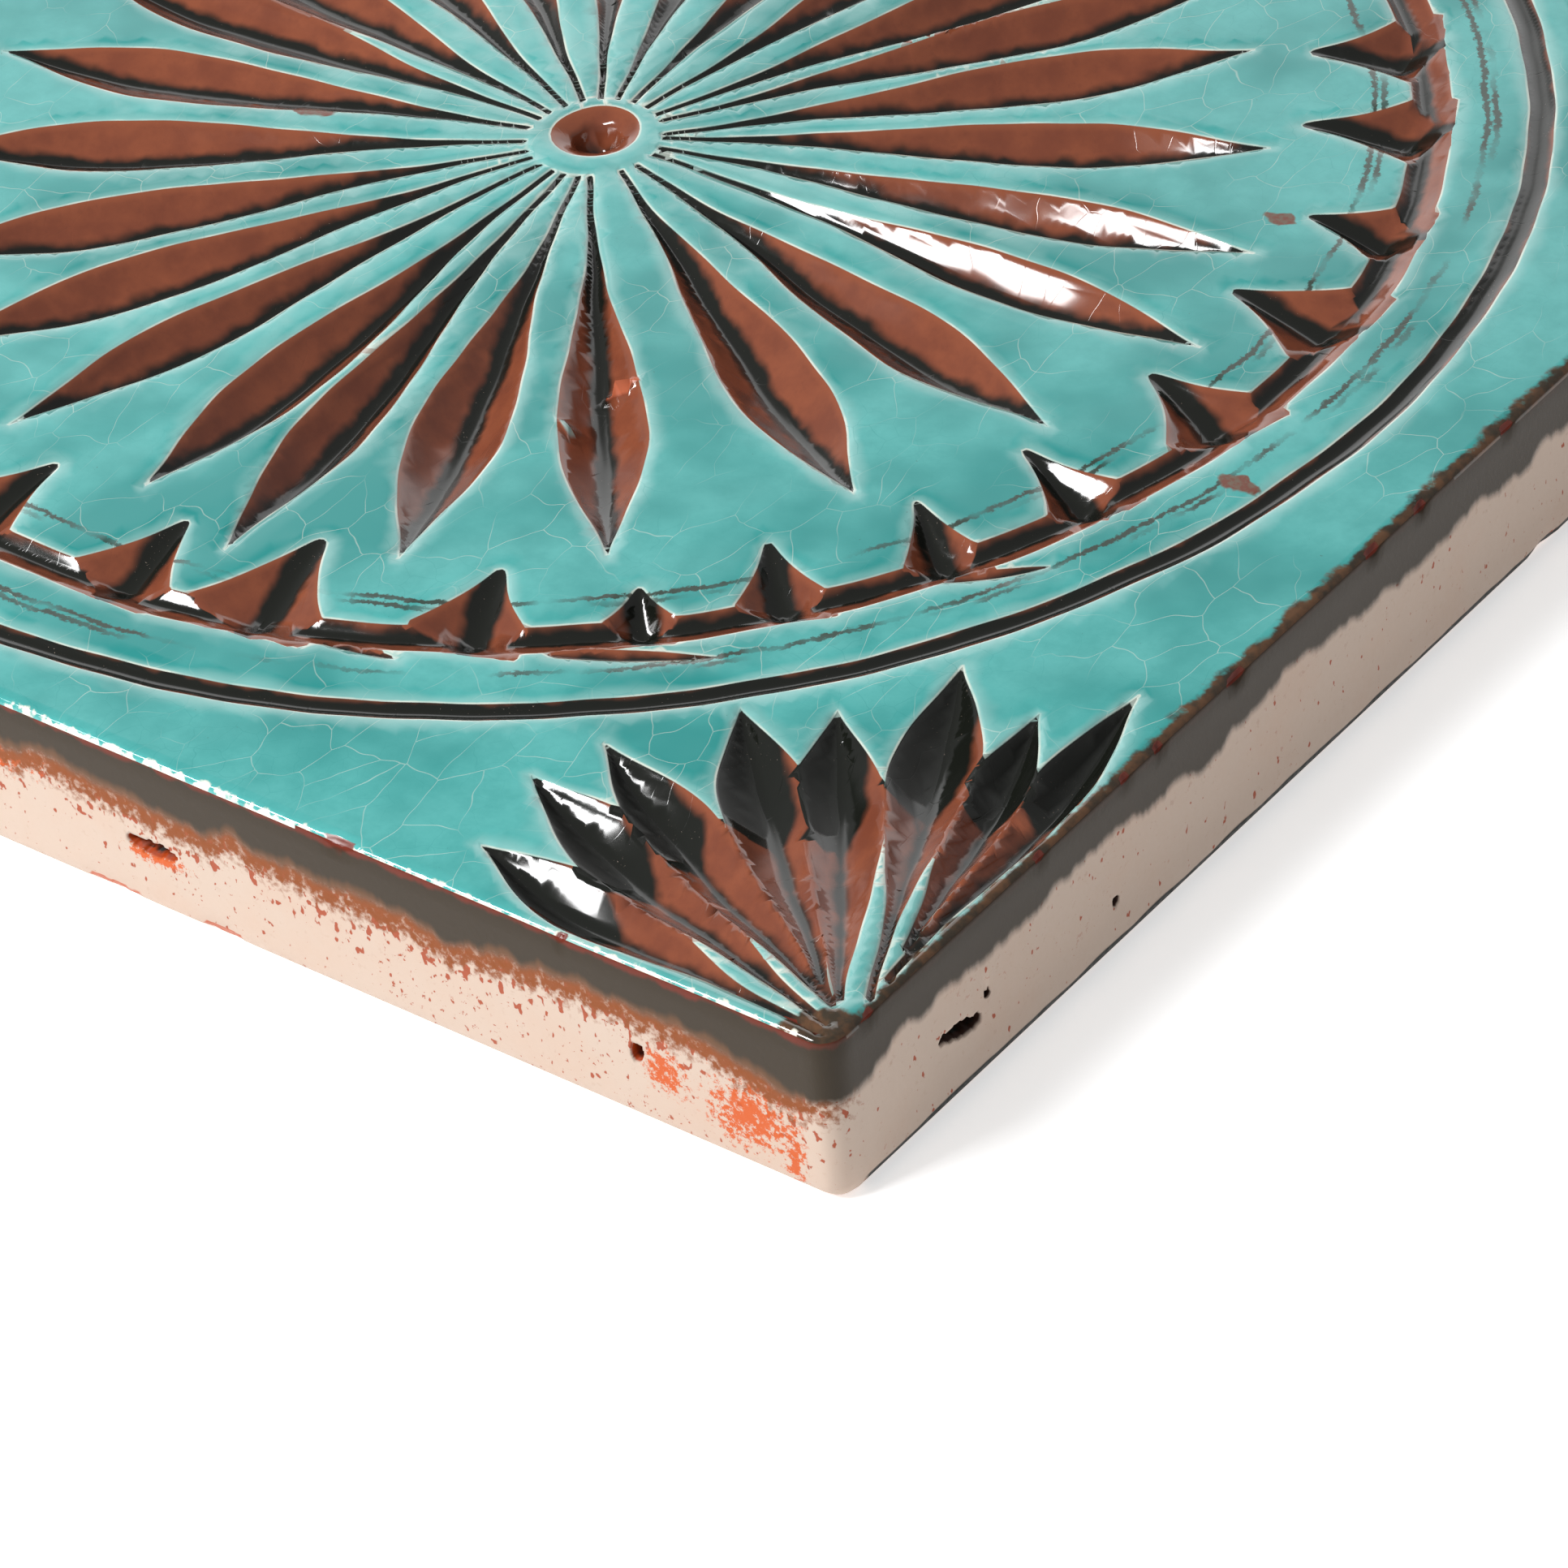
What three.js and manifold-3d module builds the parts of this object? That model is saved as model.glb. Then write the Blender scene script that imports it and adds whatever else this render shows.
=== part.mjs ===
// A square glazed clay tile with a chip-carved face: a rosette of long petals inside a toothed ring
// and a plain groove, with a fan of leaves in each corner.
// Millimetres, +Z up. The origin is the middle of the flat back, and the carved face is on top.
import * as THREE from 'three';
import { mergeVertices } from 'three/addons/utils/BufferGeometryUtils.js';
import Module from 'manifold-3d';

const wasm = await Module();
wasm.setup();

// Slab
const SIDE = 150;
const THICKNESS = 13.5;
const CORNER_RADIUS = 1.8;
const BACK_ROUND = 1.4;
const FACE_ROUND = 0.5;
const ROUND_STEPS = 3;
const CORNER_STEPS = 4;

// Centre of the rosette and its rings, a little off the middle of the hand-cut slab
const ROSETTE_CENTRE = new THREE.Vector2(-1.2, -1.2);

// Petals: [angle and radius of the tip, width, how late it swells, lean of its foot], cut by hand, so never
// quite even. Angles are in degrees. The stretch between the last petal and the first is shared out evenly.
const PETAL_COUNT = 25;
const PETALS = [
  [65.8, 50, 6.2, 1.3, 0], [55.2, 49.5, 6, 1.3, 0], [43.9, 48.3, 6, 1.2, -10], [28.6, 49.3, 5.6, 1.1, 0],
  [13.6, 51, 5.1, 1.3, 0], [0.6, 52.9, 5.4, 2, 3], [-14.4, 50.8, 6.1, 1.3, -2], [-31.2, 49.8, 6.6, 1.2, 0],
  [-51, 51.6, 6.4, 1.7, -7], [-67, 51.9, 6.7, 1.8, 0], [-80.1, 53.9, 5.3, 1.6, 0], [-90.4, 50.3, 6, 1.4, 0],
  [-105.3, 51.2, 5.4, 1.5, 0], [-118.7, 51, 6.5, 1.4, 0], [-132.3, 50.5, 6.2, 1.3, 3],
  [-148.3, 49.5, 6.5, 1.3, 4], [-163.8, 47.9, 6.4, 1.2, 0], [-179, 49, 6.2, 1.3, 0], [-190, 50, 6.2, 1.3, 0],
];
const PETAL_FOOT_RADIUS = 7;
const PETAL_CUT = { depth: 2.4, stem: 0.3, shoulder: 0.69, taper: 0.65 };
const PETAL_STEPS = 10;

// Teeth: [angle and radius of the tip, lean and width of the base], shared out as the petals are
const TOOTH_COUNT = 31;
const TEETH = [
  [42.3, 52.3, -1.1, 8.6], [31.9, 51.2, -0.9, 8.2], [19.3, 53.4, -1.1, 6.7], [8.1, 51.3, -1.1, 9.4],
  [-4.4, 51.9, -2, 8.6], [-17.6, 51.8, -0.4, 6.2], [-27.6, 52.6, -1.4, 5.6], [-39.1, 52.6, -0.9, 6.5],
  [-48.9, 55.4, -0.4, 5], [-59, 52.4, -1.7, 8.4], [-73.6, 50.7, -1.4, 10.4], [-84.6, 51.9, -0.6, 8],
  [-98.2, 51.8, -0.6, 8],
];
const TOOTH_DEPTH = 2.2;
const TOOTH_VALLEY_RADIUS = 58.8;
const TOOTH_FLANK = { blunt: 0.3, bluntPower: 0.4, flarePower: 1.9 };
const TOOTH_STEPS = 5;

// Ring groove that the teeth open into, and the plain groove around it
const RING = { inner: 59, valley: 60, outer: 61.9, depth: 0.9 };
const GROOVE = { inner: 67.3, valley: 68.1, outer: 69.1, depth: 0.6 };
const RING_SEGMENTS = 72;

// Drilled centre: a shallow rim with a small hole in it, as [radius, depth], and where it was drilled
const CENTRE_PROFILE = [[0, 3], [1.3, 2.7], [1.8, 0.8], [3.3, 0]];
const DRILLED_AT = new THREE.Vector2(-1.7, -0.5);
const CENTRE_SEGMENTS = 24;

// Corner leaves: tip and foot as distances from the two sides that meet in the corner, the width, and how
// late the leaf swells
const LEAVES = [
  { tip: [31.7, 4.6], foot: [1.3, 0.9], width: 5.6, swell: 2 },
  { tip: [33.5, 12.2], foot: [1.5, 1.8], width: 6, swell: 1.35 },
  { tip: [31.4, 17.3], foot: [2.4, 3.6], width: 5.3, swell: 0.85 },
  { tip: [26, 24.9], foot: [3, 3.9], width: 6.2, swell: 0.9 },
  { tip: [20.4, 28], foot: [2.4, 4.2], width: 6.4, swell: 0.75 },
  { tip: [16, 36.3], foot: [0.8, 5.2], width: 6, swell: 1.9 },
  { tip: [8.8, 34.7], foot: [1.7, 10.4], width: 4.2, swell: 1 },
  { tip: [4.2, 39.5], foot: [0.9, 7.5], width: 4.1, swell: 1.3 },
];
const LEAF_CUT = { depth: 2.2, stem: 0.6, shoulder: 0.68, taper: 0.62 };
const LEAF_STEPS = 8;
const CORNERS = 4;

// How fast a valley falls as its leaf or petal widens: 1 keeps the slope of the walls
const VALLEY_POWER = 0.75;

// How far each cutter stands above the face, as a share of its depth, and its least size at a tip
const PROUD = 0.3;
const LEAST_CUT = 0.12;

const CLAY_GLAZE = new THREE.MeshStandardMaterial({ color: 0x63c2b7, roughness: 0.15, metalness: 0 });

// A closed geometry as a solid for joining and cutting
function solidOf(geometry) {
  geometry.deleteAttribute('normal');
  geometry.deleteAttribute('uv');
  const merged = mergeVertices(geometry, 1e-4);
  const mesh = new wasm.Mesh({
    numProp: 3,
    vertProperties: merged.getAttribute('position').array,
    triVerts: new Uint32Array(merged.index.array),
  });
  return new wasm.Manifold(mesh);
}

// A solid back as a geometry with flat faces
function geometryOf(solid) {
  const mesh = solid.getMesh();
  const indexed = new THREE.BufferGeometry();
  indexed.setAttribute('position', new THREE.BufferAttribute(mesh.vertProperties, mesh.numProp));
  indexed.setIndex(new THREE.BufferAttribute(mesh.triVerts, 1));
  const geometry = indexed.toNonIndexed();
  geometry.computeVertexNormals();
  return geometry;
}

// Square outline with rounded corners
function slabOutline() {
  const reach = SIDE / 2 - CORNER_RADIUS;
  const outline = new THREE.Shape();
  for (let corner = 0; corner < CORNERS; corner++) {
    const start = (corner * Math.PI) / 2;
    const middle = start + Math.PI / 4;
    const x = Math.sign(Math.cos(middle)) * reach;
    const y = Math.sign(Math.sin(middle)) * reach;
    outline.absarc(x, y, CORNER_RADIUS, start, start + Math.PI / 2);
  }
  return outline;
}

// Insets and heights of the slab's rounded back and face edges, from the back up
function edgeStations() {
  const stations = [];
  for (let i = 0; i <= ROUND_STEPS; i++) {
    const turn = ((i / ROUND_STEPS) * Math.PI) / 2;
    stations.push([BACK_ROUND * (1 - Math.sin(turn)), BACK_ROUND * (1 - Math.cos(turn))]);
  }
  for (let i = 0; i <= ROUND_STEPS; i++) {
    const turn = ((i / ROUND_STEPS) * Math.PI) / 2;
    stations.push([FACE_ROUND * (1 - Math.cos(turn)), THICKNESS - FACE_ROUND * (1 - Math.sin(turn))]);
  }
  return stations;
}

// The plain slab: the outline drawn in at each station
function slabGeometry() {
  const stations = edgeStations();
  const steps = stations.length - 1;
  const geometry = new THREE.ExtrudeGeometry(slabOutline(), {
    depth: steps,
    steps,
    curveSegments: CORNER_STEPS,
    bevelEnabled: false,
  });
  const position = geometry.getAttribute('position');
  for (let i = 0; i < position.count; i++) {
    const [inset, height] = stations[Math.round(position.getZ(i))];
    const shrink = 1 - (2 * inset) / SIDE;
    position.setXYZ(i, position.getX(i) * shrink, position.getY(i) * shrink, height);
  }
  return geometry;
}

// A V-shaped cut along +X, with its width and depth given at each share of its length
function chipGeometry(length, steps, widthAt, depthAt) {
  const half = (1 + PROUD) / 2;
  const section = new THREE.Shape([
    new THREE.Vector2(-half, PROUD),
    new THREE.Vector2(0, -1),
    new THREE.Vector2(half, PROUD),
  ]);
  const geometry = new THREE.ExtrudeGeometry(section, { depth: 1, steps, bevelEnabled: false });
  const position = geometry.getAttribute('position');
  for (let i = 0; i < position.count; i++) {
    const share = position.getZ(i);
    const width = Math.max(LEAST_CUT, widthAt(share));
    const depth = Math.max(LEAST_CUT, depthAt(share));
    position.setXYZ(i, share * length, position.getX(i) * width, position.getY(i) * depth);
  }
  return geometry;
}

// Rises smoothly from 0 to 1
const rise = (t) => (1 - Math.cos(Math.PI * t)) / 2;

// Width of a leaf or petal: a thin stem that swells to the shoulder, then a pointed tip
function leafWidth(share, cut) {
  if (share < cut.shoulder) {
    return cut.stem + (cut.width - cut.stem) * rise(share / cut.shoulder) ** cut.swell;
  }
  return cut.width * rise((1 - share) / (1 - cut.shoulder)) ** cut.taper;
}

// A leaf or petal cut whose valley is deepest where it is widest
function leafGeometry(length, steps, cut) {
  const widthAt = (share) => leafWidth(share, cut);
  const depthAt = (share) => cut.depth * (widthAt(share) / cut.width) ** VALLEY_POWER;
  return chipGeometry(length, steps, widthAt, depthAt);
}

// Evenly spaced rows of [angle, ...mean sizes] from the last measured row round to the first
function withEvenRest(rows, count) {
  const missing = count - rows.length;
  const first = rows[0][0];
  const last = rows[rows.length - 1][0];
  const gap = (last - first + 360) / (missing + 1);
  const means = rows[0].map((_, column) => rows.reduce((sum, row) => sum + row[column], 0) / rows.length);
  const rest = Array.from({ length: missing }, (_, i) => [last - gap * (i + 1), ...means.slice(1)]);
  return [...rows, ...rest];
}

// Lays a cut that was made along +X on the face, from one point to another
function layAlong(geometry, from, to) {
  geometry.rotateZ(Math.atan2(to.y - from.y, to.x - from.x));
  return geometry.translate(from.x, from.y, THICKNESS);
}

// A point on the face at a radius and an angle about the rosette's centre
function aroundRosette(radius, degrees) {
  const angle = THREE.MathUtils.degToRad(degrees);
  return new THREE.Vector2(radius, 0).rotateAround(new THREE.Vector2(), angle).add(ROSETTE_CENTRE);
}

function petalCuts() {
  return withEvenRest(PETALS, PETAL_COUNT).map(([degrees, radius, width, swell, lean]) => {
    const foot = aroundRosette(PETAL_FOOT_RADIUS, degrees + lean);
    const tip = aroundRosette(radius, degrees);
    const geometry = leafGeometry(foot.distanceTo(tip), PETAL_STEPS, { ...PETAL_CUT, width, swell });
    return layAlong(geometry, foot, tip);
  });
}

// Width of a tooth as a share of its base, from its blunt tip down its concave flanks
function flankShare(share) {
  const { blunt, bluntPower, flarePower } = TOOTH_FLANK;
  return blunt * share ** bluntPower + (1 - blunt) * share ** flarePower;
}

// A tooth: a valley that falls from the tip, then a wall up to the ring's outer edge
function toothCuts() {
  return withEvenRest(TEETH, TOOTH_COUNT).map(([degrees, radius, lean, base]) => {
    const tip = aroundRosette(radius, degrees);
    const foot = aroundRosette(RING.outer, degrees + lean);
    const flankEnd = (RING.inner - radius) / (RING.outer - radius);
    const valleyEnd = (TOOTH_VALLEY_RADIUS - radius) / (RING.outer - radius);
    const widthAt = (share) => base * flankShare(Math.min(1, share / flankEnd));
    const depthAt = (share) =>
      TOOTH_DEPTH * Math.min(share / valleyEnd, (1 - share) / (1 - valleyEnd));
    return layAlong(chipGeometry(tip.distanceTo(foot), TOOTH_STEPS, widthAt, depthAt), tip, foot);
  });
}

// Stands a turned cut upright and moves it to its centre on the face
function centreAt(centre, geometry) {
  return geometry.rotateX(Math.PI / 2).translate(centre.x, centre.y, THICKNESS);
}

// A ring cut by turning a V about the rosette's centre
function ringCut({ inner, valley, outer, depth }) {
  const lift = depth * PROUD;
  const profile = [
    new THREE.Vector2(inner - (valley - inner) * PROUD, lift),
    new THREE.Vector2(valley, -depth),
    new THREE.Vector2(outer + (outer - valley) * PROUD, lift),
  ];
  const geometry = new THREE.LatheGeometry([...profile, profile[0]], RING_SEGMENTS);
  return centreAt(ROSETTE_CENTRE, geometry);
}

function centreCut() {
  const profile = CENTRE_PROFILE.map(([radius, depth]) => new THREE.Vector2(radius, -depth));
  const rim = profile[profile.length - 1].x;
  profile.push(new THREE.Vector2(rim, PROUD), new THREE.Vector2(0, PROUD));
  const geometry = new THREE.LatheGeometry(profile, CENTRE_SEGMENTS);
  return centreAt(DRILLED_AT, geometry);
}

// A point on the face by its distances from the two sides that meet in the corner at +X -Y
const inCorner = ([across, up]) => new THREE.Vector2(SIDE / 2 - across, up - SIDE / 2);

// The leaves of one corner, laid out in the corner at +X -Y and then turned to their own
function fanCuts(corner) {
  return LEAVES.map((leaf) => {
    const foot = inCorner(leaf.foot);
    const tip = inCorner(leaf.tip);
    const cut = { ...LEAF_CUT, width: leaf.width, swell: leaf.swell };
    const geometry = layAlong(leafGeometry(foot.distanceTo(tip), LEAF_STEPS, cut), foot, tip);
    return geometry.rotateZ((corner * Math.PI) / 2);
  });
}

function carvedTile() {
  const fans = Array.from({ length: CORNERS }, (_, corner) => fanCuts(corner)).flat();
  const cuts = [...petalCuts(), ...toothCuts(), ringCut(RING), ringCut(GROOVE), centreCut(), ...fans];
  const carved = cuts.reduce((left, cut) => left.subtract(solidOf(cut)), solidOf(slabGeometry()));
  const mesh = new THREE.Mesh(geometryOf(carved), CLAY_GLAZE);
  mesh.name = 'carved_tile';
  return mesh;
}

const tile = new THREE.Group();
tile.add(carvedTile());

export default tile;
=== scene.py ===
"""Finishes a carved and glazed clay tile on its CAD frame and sets it on a plain studio stage."""

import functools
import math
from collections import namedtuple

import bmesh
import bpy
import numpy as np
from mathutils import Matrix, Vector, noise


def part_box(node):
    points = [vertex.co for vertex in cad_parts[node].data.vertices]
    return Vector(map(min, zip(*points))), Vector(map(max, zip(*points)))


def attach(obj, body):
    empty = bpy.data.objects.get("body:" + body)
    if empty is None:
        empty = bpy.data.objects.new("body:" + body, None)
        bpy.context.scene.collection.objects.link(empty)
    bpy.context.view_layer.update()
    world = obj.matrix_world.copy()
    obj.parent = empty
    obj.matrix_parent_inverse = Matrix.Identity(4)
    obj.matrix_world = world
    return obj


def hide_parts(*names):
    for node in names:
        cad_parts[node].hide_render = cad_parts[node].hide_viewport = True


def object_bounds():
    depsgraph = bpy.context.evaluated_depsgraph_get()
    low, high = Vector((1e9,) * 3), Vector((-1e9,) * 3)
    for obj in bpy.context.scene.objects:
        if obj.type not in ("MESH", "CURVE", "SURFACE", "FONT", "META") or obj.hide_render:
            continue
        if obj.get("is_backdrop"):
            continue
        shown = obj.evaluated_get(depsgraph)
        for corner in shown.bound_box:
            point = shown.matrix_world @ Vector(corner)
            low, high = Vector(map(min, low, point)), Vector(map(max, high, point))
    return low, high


bl_info = {
    "name": "Carved Glazed Tile",
    "version": (1, 0, 0),
    "blender": (4, 5, 0),
    "location": "3D View > Sidebar > Tile",
    "description": "Models a square clay tile with a chip-carved, glazed face and lights it for a picture",
    "category": "Add Mesh",
}

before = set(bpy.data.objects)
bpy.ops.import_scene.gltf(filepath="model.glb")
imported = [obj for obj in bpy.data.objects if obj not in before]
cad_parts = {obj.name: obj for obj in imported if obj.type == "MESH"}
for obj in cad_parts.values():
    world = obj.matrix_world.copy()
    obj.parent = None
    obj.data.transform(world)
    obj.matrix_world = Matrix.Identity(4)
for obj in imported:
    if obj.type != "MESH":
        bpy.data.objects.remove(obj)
CAD_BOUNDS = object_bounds()

NODE = "carved_tile"
MM = 0.001
SLAB_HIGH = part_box(NODE)[1] / MM
HALF = SLAB_HIGH.x
THICKNESS = SLAB_HIGH.z

# Slab edges, in mm as all sizes here
CORNER_RADIUS = 1.8
FACE_ROUND = 0.5
BACK_ROUND = 1.4

# Petals: angle and radius of the tip, width, how late it swells, the lean of its foot, and the share of the
# full depth, angles in degrees
ROSETTE_CENTRE = np.array([-1.2, -1.2])
PETAL_COUNT = 25
PETAL_FOOT_RADIUS = 5
PETALS = [
    [65.8, 50, 6.2, 1.3, 0, 1], [55.2, 49.5, 6, 1.3, 0, 1], [43.9, 48.3, 6, 1.2, -10, 1],
    [28.6, 49.3, 5.6, 1.1, 0, 1], [13.6, 51, 5.1, 1.3, 0, 1], [0.6, 52.9, 5.4, 2, 3, 1],
    [-14.4, 50.8, 6.1, 1.3, -2, 1], [-31.2, 49.8, 6.6, 1.2, 0, 1], [-51, 51.6, 6.4, 1.7, -7, 1],
    [-67, 51.9, 6.7, 1.8, 0, 1], [-80.1, 53.9, 5.3, 1.6, 0, 1], [-90.4, 50.3, 6, 1.4, 0, 1],
    [-105.3, 51.2, 5.4, 1.5, 0, 1], [-118.7, 51, 6.5, 1.4, 0, 1], [-132.3, 50.5, 6.2, 1.3, 3, 1],
    [-148.3, 49.5, 6.5, 1.3, 4, 0.85], [-163.8, 47.9, 6.4, 1.2, 0, 0.65], [-179, 49, 6.4, 1.3, 0, 0.8],
    [-190, 50, 6.6, 1.3, 0, 0.85],
]
PETAL_STEM, PETAL_SHOULDER, PETAL_TAPER = 0.45, 0.69, 0.65

# Teeth: angle and radius of the tip, lean and width of the base
TOOTH_COUNT = 31
TOOTH_VALLEY_RADIUS = 58.8
TOOTH_BLUNT, TOOTH_BLUNT_POWER, TOOTH_FLARE_POWER = 0.3, 0.4, 1.9
TEETH = [
    [42.3, 52.3, -1.1, 8.6], [31.9, 51.2, -0.9, 8.2], [19.3, 53.4, -1.1, 6.7], [8.1, 51.3, -1.1, 9.4],
    [-4.4, 51.9, -2, 8.6], [-17.6, 51.8, -0.4, 6.2], [-27.6, 52.6, -1.4, 5.6], [-39.1, 52.6, -0.9, 6.5],
    [-48.9, 55.4, -0.4, 5], [-59, 52.4, -1.7, 8.4], [-73.6, 50.7, -1.4, 10.4], [-84.6, 51.9, -0.6, 8],
    [-98.2, 51.8, -0.6, 8],
]

# Turned rings: radii of both edges and of the valley, the depth, and how far glaze pools inward and outward
Ring = namedtuple("Ring", "inner valley outer depth pool_in pool_out")
TOOTHED_RING = Ring(59, 60, 61.9, 0.9, 0.8, 0.5)
GROOVE = Ring(67.3, 68.1, 69.1, 0.45, 0.9, 0.9)

# The drilled middle: radius and depth at the corners of its profile, and where it was drilled
CENTRE_PROFILE = [[0, 3], [1.3, 2.7], [1.8, 0.8], [3.3, 0]]
DRILLED_AT = np.array([-1.7, -0.5])

# Lines scribed for marking out: radius, then how far gaps break up the line
SCRIBED_LINES = [[56.3, 0.38], [57, 0.48], [64.3, 0.4], [65, 0.5]]

# Corner leaves: tip and foot by their distances from the two sides that meet in the corner, the width, and
# how late the leaf swells
LEAVES = [
    [[31.7, 4.6], [1.3, 0.9], 5.6, 2], [[33.5, 12.2], [1.5, 1.8], 6, 1.35],
    [[31.4, 17.3], [2.4, 3.6], 5.3, 0.85], [[26, 24.9], [3, 3.9], 6.2, 0.9],
    [[20.4, 28], [2.4, 4.2], 6.4, 0.75], [[16, 36.3], [0.8, 5.2], 6, 1.9],
    [[8.8, 34.7], [1.7, 10.4], 4.2, 1], [[4.2, 39.5], [0.9, 7.5], 4.1, 1.3],
]
LEAF_STEM, LEAF_SHOULDER, LEAF_TAPER = 0.6, 0.68, 0.62
CORNERS = 4

# Glaze pooled in a leaf: half width of the line in its valley, the share of its length where the black tip
# starts and how soon that is full, the tip's reach to one side, and how much further it goes to the other as
# painted shade on the wall turned from the light, and over what distance from the valley that extra reach
# grows
LEAF_LINE_POOL = 0.3
LEAF_TIP_START, LEAF_TIP_FADE = 0.58, 0.1
LEAF_TIP_POOL, LEAF_TIP_SHADE_SPREAD, LEAF_SHADE_FADE = 1.7, 5.3, 0.6

# How fast petals and leaves grow shallower where they narrow, and how far a cut is felt past its ends and to
# both sides of its valley
VALLEY_POWER = 0.75
CUT_MARGIN = 3
CUT_SIDE_REACH = 8

# Slips of the knife past the ring: angle and radius of the start and of the point, then the width
SLIPS = [[-55, 62.1, -44.8, 64.1, 1.5], [-30, 61.6, -23.6, 64, 1.4], [-70, 61.4, -64, 62.8, 1.1]]
SLIP_DEPTH, SLIP_POOL = 0.6, 0.25

# How full a slip is, how fast it widens from its start, and how fast it narrows to its point
SLIP_FULLNESS, SLIP_START_POWER, SLIP_POINT_POWER = 1.9, 0.5, 0.8

# Crumbs of clay in the glaze: place, direction of the long axis, half length, half width, height, and 1 where
# the clay is bare or -1 where glaze covers it
CRUMBS = [
    [19.4, -24.5, 36, 1.9, 0.45, 1.6, 1], [19.2, -30.6, -10, 1.2, 0.35, 0.8, -1],
    [-13.4, -27.1, 20, 1, 0.6, 0.4, 1],
]
CRUMB_STEEPNESS = 1.2

# How far the glaze lies below the CAD's flat face, how far a crumb may stand above the glaze, and the height
# of the face's broad and fine waves
FACE_SUNK = 0.09
CRUMB_PROUD = 0.02
BROAD_WAVES, FINE_WAVES = 0.02, 0.004

# The wander of the knife along x and along y, as waves: height, turn for each mm in x and in y, and start
WANDER_X = [[0.08, 0.45, 0.3, 0], [0.03, -0.7, 1.0, 1]]
WANDER_Y = [[0.08, 0.35, -0.45, 2], [0.03, 0.9, 0.8, 0]]

# Bare spots on the face: place, half lengths along x and y
BARE_SPOTS = [[63.3, -12.7, 1.6, 1.0], [47.7, 15.2, 1.5, 0.8], [-21.7, -8.8, 1.6, 1.1],
              [70.2, -7.9, 0.6, 0.4], [-33.0, 41.0, 1.2, 0.8]]

# Holes in the sides: side, place along it, drop below the face, half length, half height, tilt, depth
Hole = namedtuple("Hole", "side along drop half_length half_height tilt depth")
HOLES = [
    Hole("front", 18.0, 7.8, 2.2, 0.55, 2, 1.2),
    Hole("front", 59.0, 7.5, 0.5, 0.75, 8, 1.2),
    Hole("right", -61.7, 7.9, 2.1, 0.55, 14, 1.4),
    Hole("right", -59.0, 7.0, 0.35, 0.3, 0, 0.9),
    Hole("right", -44.9, 9.1, 0.35, 0.3, 0, 0.8),
    Hole("left", 22.0, 8.4, 2.0, 0.35, 8, 1.4),
    Hole("rear", -31.0, 7.2, 1.8, 0.35, -10, 1.4),
]

# Around a hole, in shares of its size: where the mesh is refined, where the rim starts and how wide it falls.
# Then how ragged the rim is, its lumps to a mm, and how far inside a side a hole is felt
HOLE_REFINING = [4.5, 3, 1.8]
HOLE_RIM, HOLE_RIM_FALL = 1.1, 0.3
HOLE_RAGGED, HOLE_LUMPS = 0.35, 1.7
HOLE_INSIDE = 2.5

# Chips off the edges: side, place along it, height on the side, half length and bite
Chip = namedtuple("Chip", "side along height half_length bite")
CHIPS = [
    Chip("right", -30.2, 13.4, 1.3, 0.35), Chip("right", -39.3, 13.4, 0.8, 0.3),
    Chip("right", -42.9, 13.4, 0.9, 0.25), Chip("right", -14.3, 13.4, 1.2, 0.3),
    Chip("right", -8.4, 13.4, 1.0, 0.35), Chip("right", 2.2, 13.4, 0.9, 0.25),
    Chip("right", -71.0, 13.4, 0.8, 0.3), Chip("right", -52.5, 13.4, 0.7, 0.25),
    Chip("right", 6.0, 0.3, 2.2, 0.3), Chip("front", 35.0, 13.4, 2.2, 0.25),
    Chip("front", 53.6, 13.4, 0.7, 0.25), Chip("front", 13.4, 0.3, 3.4, 0.2),
    Chip("front", 23.2, 0.3, 2.6, 0.25), Chip("left", -12.0, 13.4, 1.5, 0.35),
    Chip("left", 40.0, 0.3, 3.0, 0.25), Chip("rear", 18.0, 13.4, 1.4, 0.35),
    Chip("rear", -46.0, 0.3, 2.6, 0.25),
]

# How far a chip spreads over the face's edge and over the back's, how ragged it is, its lumps to a mm, how
# wide its rim falls, and how far from its middle it is felt
CHIP_SPREAD_FACE, CHIP_SPREAD_BACK = 0.5, 0.9
CHIP_RAGGED, CHIP_LUMPS, CHIP_RIM_FALL = 0.4, 1.1, 0.6
CHIP_REACH = 6

# Rust-coloured stains on the slip: side, place along it, drop below the face, half length and half height
STAINS = [
    ["front", 61.2, 8.2, 1.4, 1.3], ["front", 67.9, 8.7, 2.7, 2.2], ["front", 18.6, 8.5, 2.2, 0.5],
    ["front", 71.3, 10.6, 0.6, 2.4], ["front", 3.0, 4.6, 5.0, 1.2], ["left", -40.0, 7.5, 5.0, 2.0],
    ["rear", 52.0, 7.0, 4.0, 1.8],
]

# How each side lies: its outward normal and the direction in which places along it are counted
SIDES = {
    "front": ((0, -1), (1, 0)),
    "right": ((1, 0), (0, 1)),
    "rear": ((0, 1), (1, 0)),
    "left": ((-1, 0), (0, 1)),
}

# How rusty the slip is on each side
RUST_ON_SIDE = {"front": 1.0, "right": 0.08, "rear": 0.3, "left": 0.8}

# How far the dark glaze of the sides creeps onto the face along each side, and around a corner
CREEP_ON_SIDE = {"front": -0.1, "right": 1.0, "rear": 0.6, "left": 0.0}
CREEP_AT_CORNER = 4.1

# How wide a white line shows along the edge of the face on each side: white slip, and on the lit front and
# left a painted highlight of the edge as well
LIP_AND_HIGHLIGHT_ON_SIDE = {"front": 0.34, "right": -0.6, "rear": 0.0, "left": 0.2}

# How far in from a side its dark glaze, its slip and its stains are felt, how far down the marks of the face
# go, and how far a soft blot spreads, in half lengths
CREEP_REACH, SIDE_REACH, STAIN_REACH = 6, 3, 1.5
FACE_MARKS_DROP = 4
BLOT_SPREAD = 2

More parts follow.
